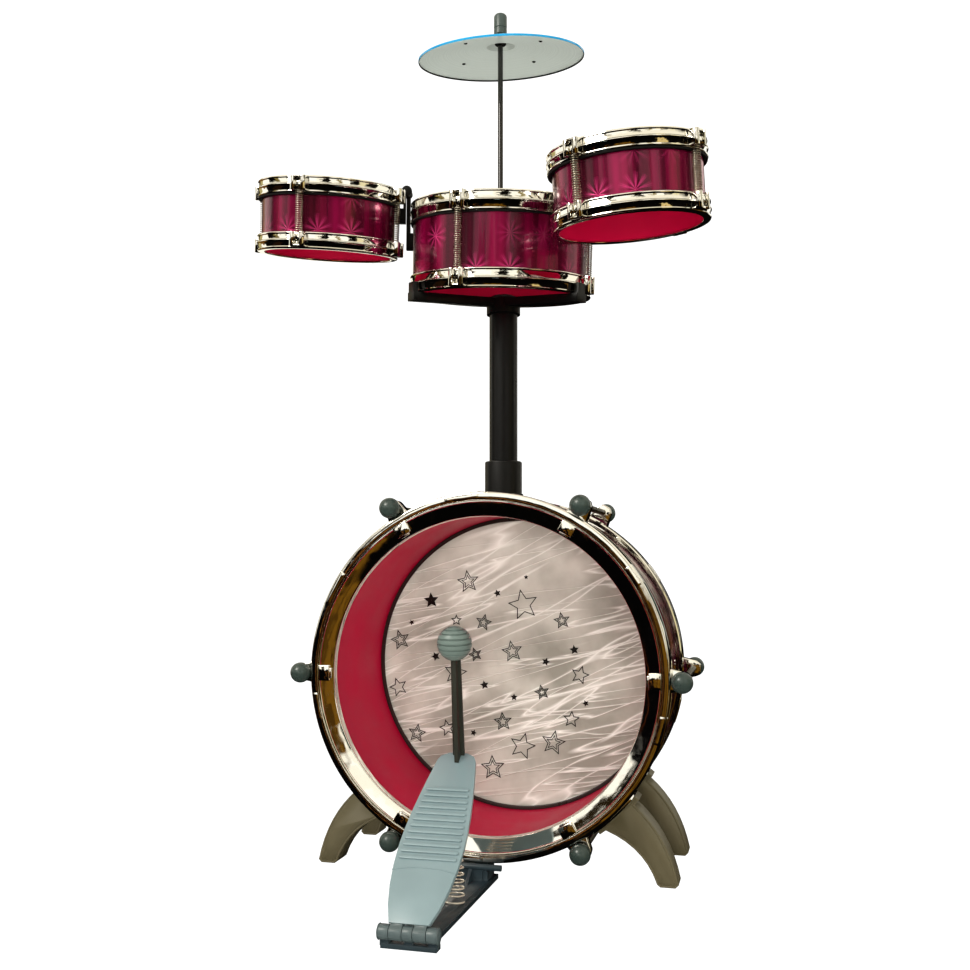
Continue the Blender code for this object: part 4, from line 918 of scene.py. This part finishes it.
def tom_hoop_profile(outer, inner_wall, lip, band):
    """(radius, height) with the lip at the bottom: rolled edges and a bead along the middle."""
    middle = band / 2
    points = [(lip + 0.0008, 0.0)]
    points += round_corner((outer - 0.0021, 0.0015), 0.0015, -90, 0, 5)
    points += [(outer - 0.0016, 0.0024), (outer - 0.0010, middle - 0.0016)]
    points += round_corner((outer - 0.0010, middle), 0.0010, -70, 70, 6)
    points += [(outer - 0.0010, middle + 0.0016), (outer - 0.0016, band - 0.0024)]
    points += round_corner((outer - 0.0016, band - 0.0012), 0.0012, -30, 90, 5)
    points += [(inner_wall, band), (inner_wall, 0.0018), (lip, 0.0018)]
    points += round_corner((lip + 0.0008, 0.0008), 0.0008, 180, 260, 3)
    return points


def lug(outer, band):
    """A U-shaped box that stands out of the hoop, with the hook's slot and screw."""
    inner, far = outer - 0.0012, outer + LUG_REACH
    shapes = []
    for side in (-1, 1):
        cheek = prism([(inner, side * LUG_HALF), (far - 0.0016, side * LUG_HALF),
                       (far, side * (LUG_HALF - 0.0018)),
                       (far, side * (LUG_HALF - 0.0042)), (inner, side * (LUG_HALF - 0.0032))],
                      0.0012, band - 0.0010)
        shapes.append(softened(cheek, 0.0005, 2))
    shapes.append(softened(block((inner, -LUG_HALF + 0.0006, 0.0010),
                                 (far - 0.0012, LUG_HALF - 0.0006, 0.0030)),
                           0.0005, 2))
    shapes.append(softened(block((inner, -LUG_HALF + 0.0030, band * 0.40), (far - 0.0030, LUG_HALF - 0.0030,
                                                                       band - 0.0022)), 0.0004, 2))
    screw = turned([(0, -0.002), (0.0022, -0.002), (0.0022, 0.0008), (0.0016, 0.0014), (0, 0.0015)], 20,
                   closed=False)
    shapes.append(placed(screw, shift(far - 0.0028, 0, band * 0.60) @ turn(90, "Y")))
    return shapes


def tom(label):
    place = tom_frame(label)
    node = f"{label}_tom"
    body = BODIES[label]
    shell_radius = reach(f"{node}_shell", place)
    height = heights(f"{node}_top_hoop", place)[1]
    band = heights(f"{node}_bottom_hoop", place)[1]
    outer = shell_radius + HOOP_STEPS[label]
    wall = 0.0022
    low, high = heights(f"{node}_shell", place)
    cut = [(shell_radius, low), (shell_radius, high), (shell_radius - wall, high),
           (shell_radius - wall, low)]
    piece(f"{node}_wrapped_shell", turned(cut, 160, finishes=[0, 1, 1, 1]), [tom_film, crimson_plastic],
          body,
          place, [f"{node}_shell"])
    for side, name in ((0, "lower"), (1, "upper")):
        profile = tom_hoop_profile(outer, shell_radius + 0.0003, shell_radius - 0.0030, band)
        shapes = [turned(profile, 200)]
        for quarter in range(4):
            for shape in lug(outer, band):
                shapes.append(placed(shape, turn(90 * quarter)))
        here = place @ shift(z=height) @ turn(180, "X") if side else place
        stands = f"{node}_top_hoop" if side else f"{node}_bottom_hoop"
        piece(f"{node}_{name}_hoop", gathered(shapes), [tom_chrome], body, here,
              [stands])
    head_top = heights(f"{node}_head", place)[1]
    crown = []
    for step in range(13):
        radius = shell_radius * step / 12
        crown.append((radius, head_top - 0.0001 + 0.0004 * (1 - (radius / shell_radius) ** 2)))
    skin = crown + [(radius, level - HEAD_SHEET) for radius, level in reversed(crown)]
    piece(f"{node}_white_head", turned(skin, 128, closed=False), [white_film], body,
          place,
          [f"{node}_head"])
    rest = height - band
    seal = [(shell_radius + 0.0003, rest - 0.0016), (shell_radius + HOOP_STEPS[label] - 0.0012,
                                                     rest - 0.0016),
            (shell_radius + HOOP_STEPS[label] - 0.0008, rest - 0.0002),
            (shell_radius + 0.0003, rest - 0.0002)]
    piece(f"{node}_gasket", turned(seal, 128), [gasket_rubber], body, place)
    foot, top = band - 0.0030, height - band + 0.0030
    spots = [(*polar(shell_radius + 0.0006 + SPRING_RADIUS + 0.0003, 90 * quarter),
              foot) for quarter in range(4)]
    wound = grown(coils, spots, **{"Turns": round((top - foot) / 0.00185),
                                   "Foot Radius": SPRING_RADIUS - WIRE_RADIUS,
                                   "Top Radius": SPRING_RADIUS - WIRE_RADIUS, "Height": top - foot,
                                   "Wire": WIRE_RADIUS, "Finish": bright_wire})
    piece(f"{node}_coil_springs", wound, [bright_wire], body, place,
          [f"{node}_spring_{number}" for number in range(1, 5)], smooth=60)


for label in ("centre", "left", "right"):
    tom(label)


# ---- side brackets -----------------------------------------------------------------------------
# Black plates bolted to the centre tom carry the side toms. Each clip turns on its plate's barrel
# and is clamped by a round thumb screw with a fluted edge.
for label, body in (("left", "left_tom"), ("right", "right_tom")):
    piece(f"{label}_bracket_plate", softened(copied(f"{label}_bracket"), 0.0005, 2), [black_plastic],
          "upper",
          None, [f"{label}_bracket"])
    piece(f"{label}_clip_arm", softened(copied(f"{label}_clip"), 0.0004, 2), [black_plastic], body,
          None, [f"{label}_clip"])
    piece(f"{label}_thumb_screw", softened(copied(f"{label}_knob"), 0.0004, 2), [black_plastic],
          f"{label}_knob_body", None, [f"{label}_knob"])


# ---- cymbal ------------------------------------------------------------------------------------
# A spun sheet disc, silver below, with a blue lacquered rim and a small bell. It rocks on a black
# sleeve under a tall cap, on a thin rod.
CYMBAL_SHEET = 0.0009
CYMBAL_BOW = 0.012
BELL_RADIUS = 0.0155
BELL_HEIGHT = 0.009
CYMBAL_HOLE = 0.0055
RIM_BAND = 0.0030
RIVET_SHARE = 0.62     # of the radius
spin = [joint for joint in frame["joints"] if joint["name"] == "cymbal_spin"][0]
cymbal_place = Vector(spin["axis"]).to_track_quat("Z", "Y").to_matrix().to_4x4()
cymbal_place.translation = Vector(spin["pos_m"])
cymbal_radius = reach("cymbal", cymbal_place)


def cymbal_level(radius):
    """Height of the underside below the hole."""
    if radius < BELL_RADIUS:
        part = (radius - CYMBAL_HOLE) / (BELL_RADIUS - CYMBAL_HOLE)
        return -BELL_HEIGHT * (0.16 * part + 0.84 * part ** 3)
    part = (radius - BELL_RADIUS) / (cymbal_radius - BELL_RADIUS)
    return -BELL_HEIGHT - CYMBAL_BOW * (0.75 * part + 0.25 * part * part)


spun, spun_tree, spun_shader = surface("lacquered_spun_sheet", Metallic=0.2, Roughness=0.3,
                                       Base_Color=linear("bac6c4"), Coat_Weight=0.15, Coat_Roughness=0.1)
wrap_uv = add(spun_tree, "ShaderNodeUVMap", uv_map="wrap")
track = add(spun_tree, "ShaderNodeSeparateXYZ", {0: wrap_uv.outputs[0]})
lathe = add(spun_tree, "ShaderNodeTexNoise", {"W": maths(spun_tree, "MULTIPLY", track.outputs[1], 900.0),
                                              "Scale": 1.0, "Detail": 3.0}, noise_dimensions="1D")
bumped(spun_tree, spun_shader, lathe.outputs[0], 0.35, 0.0002)
spun_tone = toned(spun_tree, lathe.outputs[0], 0.0, linear("b0bcba"), 1.0, linear("d0dad8"))
spun_tree.links.new(spun_tone, spun_shader.inputs["Base Color"])
rim_blue = moulded("blue_rim_lacquer", "1f8fc0", 0.25, Coat_Weight=0.6)

steps = [CYMBAL_HOLE + (BELL_RADIUS - CYMBAL_HOLE) * step / 8 for step in range(9)]
steps += [BELL_RADIUS + (cymbal_radius - RIM_BAND - BELL_RADIUS) * step / 16 for step in range(1, 17)]
under = [(radius, cymbal_level(radius)) for radius in steps]
rim = cymbal_level(cymbal_radius)
edge = [(cymbal_radius - 0.0010, rim + 0.0001), (cymbal_radius - 0.0009, rim - 0.0012),
        (cymbal_radius - 0.0002, rim - 0.0014),
        (cymbal_radius, rim - 0.0009), (cymbal_radius, rim + 0.0005),
        (cymbal_radius - 0.0005, rim + CYMBAL_SHEET)]
over = [(radius, height + CYMBAL_SHEET) for radius, height in reversed(under)]
profile = under + edge + over
first_rim = len(under) - 1
marks = [0] * len(profile)
# painted shade: the inside and underside of the rolled rim take the black plastic
marks[first_rim + 1:first_rim + 3] = [2, 2]
marks[first_rim + 3:first_rim + 7] = [1, 1, 1, 1]
piece("spun_cymbal", turned(profile, 200, finishes=marks), [spun, rim_blue, black_plastic], "cymbal_plate",
      cymbal_place, ["cymbal"], smooth=50)

dome = [(0, 0.0011), (0.0011, 0.0010), (0.0018, 0.0006), (0.0021, 0.0), (0.0021, -0.0004), (0, -0.0004)]
rivets = []
for angle in (60, 150, 240, 330):
    for side in (-1, 1):
        radius = cymbal_radius * RIVET_SHARE
        level = cymbal_level(radius) + (CYMBAL_SHEET if side > 0 else 0.0)
        head = turned(dome, 20, closed=False)
        if side < 0:
            head = placed(head, turn(180, "X"))
        rivets.append(placed(head, turn(angle) @ shift(radius, 0, level)))
piece("cymbal_rivets", gathered(rivets), [moulded("dark_steel_rivet", "23292b", 0.25, Metallic=0.8)],
      "cymbal_plate", cymbal_place)

rod_low, rod_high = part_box("cymbal_rod")
rod_x, rod_y = (rod_low.x + rod_high.x) / 2, (rod_low.y + rod_high.y) / 2
stand_radius = (rod_high.x - rod_low.x) / 2
rod_length = rod_high.z - rod_low.z
rod_profile = [(0, 0), (stand_radius, 0), (stand_radius, rod_length - 0.0006),
               (stand_radius - 0.0006, rod_length), (0, rod_length)]
piece("cymbal_stand_rod", turned(rod_profile, 32, closed=False),
      [moulded("black_enamelled_steel", "161310", 0.25,
                                                                         Coat_Weight=0.5)],
      "upper", shift(rod_x, rod_y, rod_low.z), ["cymbal_rod"])
cap_low, cap_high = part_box("cymbal_cap")
cap_radius = (cap_high.x - cap_low.x) / 2
cap_height = cap_high.z - cap_low.z
bore = stand_radius + 0.0003
cap_profile = [(0, rod_high.z + 0.0003 - cap_low.z), (bore, rod_high.z + 0.0003 - cap_low.z), (bore, 0),
               (cap_radius - 0.0006, 0), (cap_radius, 0.0006), (cap_radius, 0.006),
               (cap_radius - 0.0007, 0.0066),
               (cap_radius - 0.0007, 0.0072), (cap_radius, 0.0078), (cap_radius, cap_height - 0.0042)]
cap_profile += [(cap_radius * math.cos(math.radians(a)),
                 cap_height - 0.0042 + 0.0042 * math.sin(math.radians(a)))
                for a in (20, 40, 60, 75)]
cap_profile.append((0, cap_height))
piece("cymbal_top_cap", turned(cap_profile, 48, closed=False), [moulded("grey_green_cap", "3f4a48", 0.35)],
      "upper",
      shift(rod_x, rod_y, cap_low.z), ["cymbal_cap"])
sleeve_low, sleeve_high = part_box("cymbal_sleeve")
sleeve_radius = (sleeve_high.x - sleeve_low.x) / 2
sleeve_height = sleeve_high.z - sleeve_low.z
sleeve_profile = [(bore, 0), (sleeve_radius - 0.0008, 0), (sleeve_radius, 0.0008), (sleeve_radius, 0.0052),
                  (sleeve_radius - 0.0008, 0.0060), (0.0042, 0.0060), (0.0042, sleeve_height),
                  (bore, sleeve_height)]
piece("cymbal_felt_sleeve", turned(sleeve_profile, 40), [black_plastic], "upper",
      shift(rod_x, rod_y, sleeve_low.z), ["cymbal_sleeve"])


# ---- pedal -------------------------------------------------------------------------------------
# The foot pedal: a flat base that clips under the front hoop, a hinge with five knuckles, a ribbed
# plate on a conical spring, and a beater with a grooved ball on a cross-shaped rod.
press = [joint for joint in frame["joints"] if joint["name"] == "pedal_press"][0]
hinge = Vector(press["pos_m"])
plate_corners = corners_of("pedal_plate") - np.array(hinge)
tip = plate_corners[np.argmax(plate_corners[:, 1] + plate_corners[:, 2])]
PEDAL_ANGLE = 38.0
PLATE_TOP = 0.0068       # above the hinge line, square to the plate
BROAD_HALF = 0.0274      # half the plate's width where it is widest, and at its tip
TIP_HALF = 0.0172
BROAD_AT = 0.078         # along the plate
TIP_AT = 0.168
SEAM_AT = 0.052          # the heel's step
SEAM_BOW = 0.0035
CAP_RADIUS = 0.0064      # the hinge's end caps
RIB_COUNT = 12
RIB_FIRST = 0.064       # along the plate
RIB_LAST = 0.135
RIB_RISE = 0.0015
KNUCKLE_REACH = 0.0068   # how far from the hinge line the slate colour goes
pedal_plastic = moulded("teal_grey_abs", "74868a", 0.32, grain=0.0008, depth=0.00006)
base_plastic = moulded("blue_grey_abs", "2b373d", 0.42)
hinge_plastic = moulded("slate_abs", "4c585a", 0.34)
beater_plastic = moulded("dark_olive_abs", "2c2e28", 0.4)
ball_plastic = moulded("grey_teal_rubber", "5f6d69", 0.4)
plate_place = Matrix.Translation(hinge) @ turn(PEDAL_ANGLE, "X")

plate_shape = softened(copied("pedal_plate"), 0.0008, 2, sharper_than=40)
for face in plate_shape.faces:
    centre = face.calc_center_median() - hinge
    if math.hypot(centre.y, centre.z) < KNUCKLE_REACH:
        face.material_index = 1
piece("ribbed_pedal_plate", plate_shape, [pedal_plastic, hinge_plastic], "pedal",
      None, ["pedal_plate"])


def half_width(along):
    """Half the plate's width at a distance from the hinge."""
    part = min(1.0, max(0.0, (along - BROAD_AT) / (TIP_AT - BROAD_AT)))
    return BROAD_HALF - (BROAD_HALF - TIP_HALF) * part ** 1.35


ribs = []
for number in range(RIB_COUNT):
    along = RIB_FIRST + (RIB_LAST - RIB_FIRST) * number / (RIB_COUNT - 1)
    half = half_width(along) - 0.0030
    outline = []
    for centre, start in ((half - 0.0016, -90), (-half + 0.0016, 90)):
        outline += [(centre + x, y) for x, y in [polar(0.0016, start + 30 * step) for step in range(7)]]
    rib = prism(outline, -0.0004, RIB_RISE)
    ribs.append(placed(softened(rib, 0.0004, 2, sharper_than=60), shift(0, along, PLATE_TOP)))
piece("pedal_grip_ribs", gathered(ribs), [pedal_plastic], "pedal", plate_place)

base_shape = softened(copied("pedal_base"), 0.0005, 2, sharper_than=50)
knuckle_low, knuckle_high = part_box("hinge_pin")
for face in base_shape.faces:
    centre = face.calc_center_median() - hinge
    if math.hypot(centre.y, centre.z) < KNUCKLE_REACH and centre.z > -0.0062:
        face.material_index = 1
caps = []
for side in (-1, 1):
    end = hinge.x + side * ((knuckle_high.x - knuckle_low.x) / 2 - 0.0002)
    dish = [(CAP_RADIUS * math.cos(math.radians(a)), 0.0016 * math.sin(math.radians(a))) for a in (20, 45,
                                                                                                   70)]
    cap = turned([(0, 0), (CAP_RADIUS, 0), *dish, (0, 0.0017)], 40, closed=False)
    caps.append(placed(cap, Matrix.Translation((end, hinge.y, hinge.z)) @ turn(90 * side, "Y")))
cap_shape = gathered(caps)
for face in cap_shape.faces:
    face.material_index = 1
piece("pedal_base_and_clamp", gathered([base_shape, cap_shape]), [base_plastic, hinge_plastic], "stand",
      None, ["pedal_base"])
seam = []
for number in range(16):
    across = -1 + 2 * number / 15
    seam.append((across * (half_width(SEAM_AT) - 0.0008), SEAM_AT + SEAM_BOW * (1 - across * across)))
seam += [(x, y - 0.0007) for x, y in reversed(seam)]
piece("pedal_heel_step", prism(seam, PLATE_TOP - 0.0003, PLATE_TOP + 0.0003), [pedal_plastic], "pedal",
      plate_place)
piece("hinge_wire", softened(copied("hinge_pin"), 0.0003, 1, sharper_than=60), [bright_wire], "stand",
      None, ["hinge_pin"])
spring_low, spring_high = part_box("pedal_spring")
cone_wire = spring_wire("oiled_spring_wire", 0.5)
cone = grown(coils, [(0, 0, WIRE_RADIUS * 2)], **{
    "Turns": 15.0, "Foot Radius": (spring_high.x - spring_low.x) / 2 - 0.0008, "Top Radius": 0.0062,
    "Height": spring_high.z - spring_low.z - 0.0020, "Wire": 0.0008, "Finish": cone_wire})
spring_piece = piece("pedal_return_spring", cone, [cone_wire], "stand",
                     shift((spring_low.x + spring_high.x) / 2, (spring_low.y + spring_high.y) / 2,
                           spring_low.z),
                     ["pedal_spring"], smooth=60)
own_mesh(spring_piece)

piece("beater_cross_rod", softened(copied("beater_rod"), 0.0003, 1, sharper_than=50), [beater_plastic],
      "pedal",
      None, ["beater_rod"])
ball_low, ball_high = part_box("beater_ball")
rod_corners = corners_of("beater_rod")
ball_radius = (ball_high.x - ball_low.x) / 2
ball_centre = (ball_low + ball_high) / 2
foot = Vector(rod_corners[rod_corners[:, 2].argsort()[:4]].mean(axis=0))
lean = ball_centre - foot
lean = Vector((0.0, lean.y, lean.z)).normalized()
ball_place = lean.to_track_quat("Z", "Y").to_matrix().to_4x4()
ball_place.translation = Vector((ball_centre.x, ball_centre.y, ball_high.z - ball_radius))
grooved = [(0.0, -ball_radius * 0.93)]
for angle in range(-68, 91, 2):
    depth = 0.0012 if angle % 18 in (0, 2) and abs(angle) < 76 else 0.0
    grooved.append((max(0.0, (ball_radius - depth) * math.cos(math.radians(angle))),
                    (ball_radius - depth) * math.sin(math.radians(angle))))
grooved[-1] = (0.0, ball_radius)
piece("grooved_beater_ball", turned(grooved, 64, closed=False), [ball_plastic], "pedal",
      ball_place, ["beater_ball"], smooth=50)
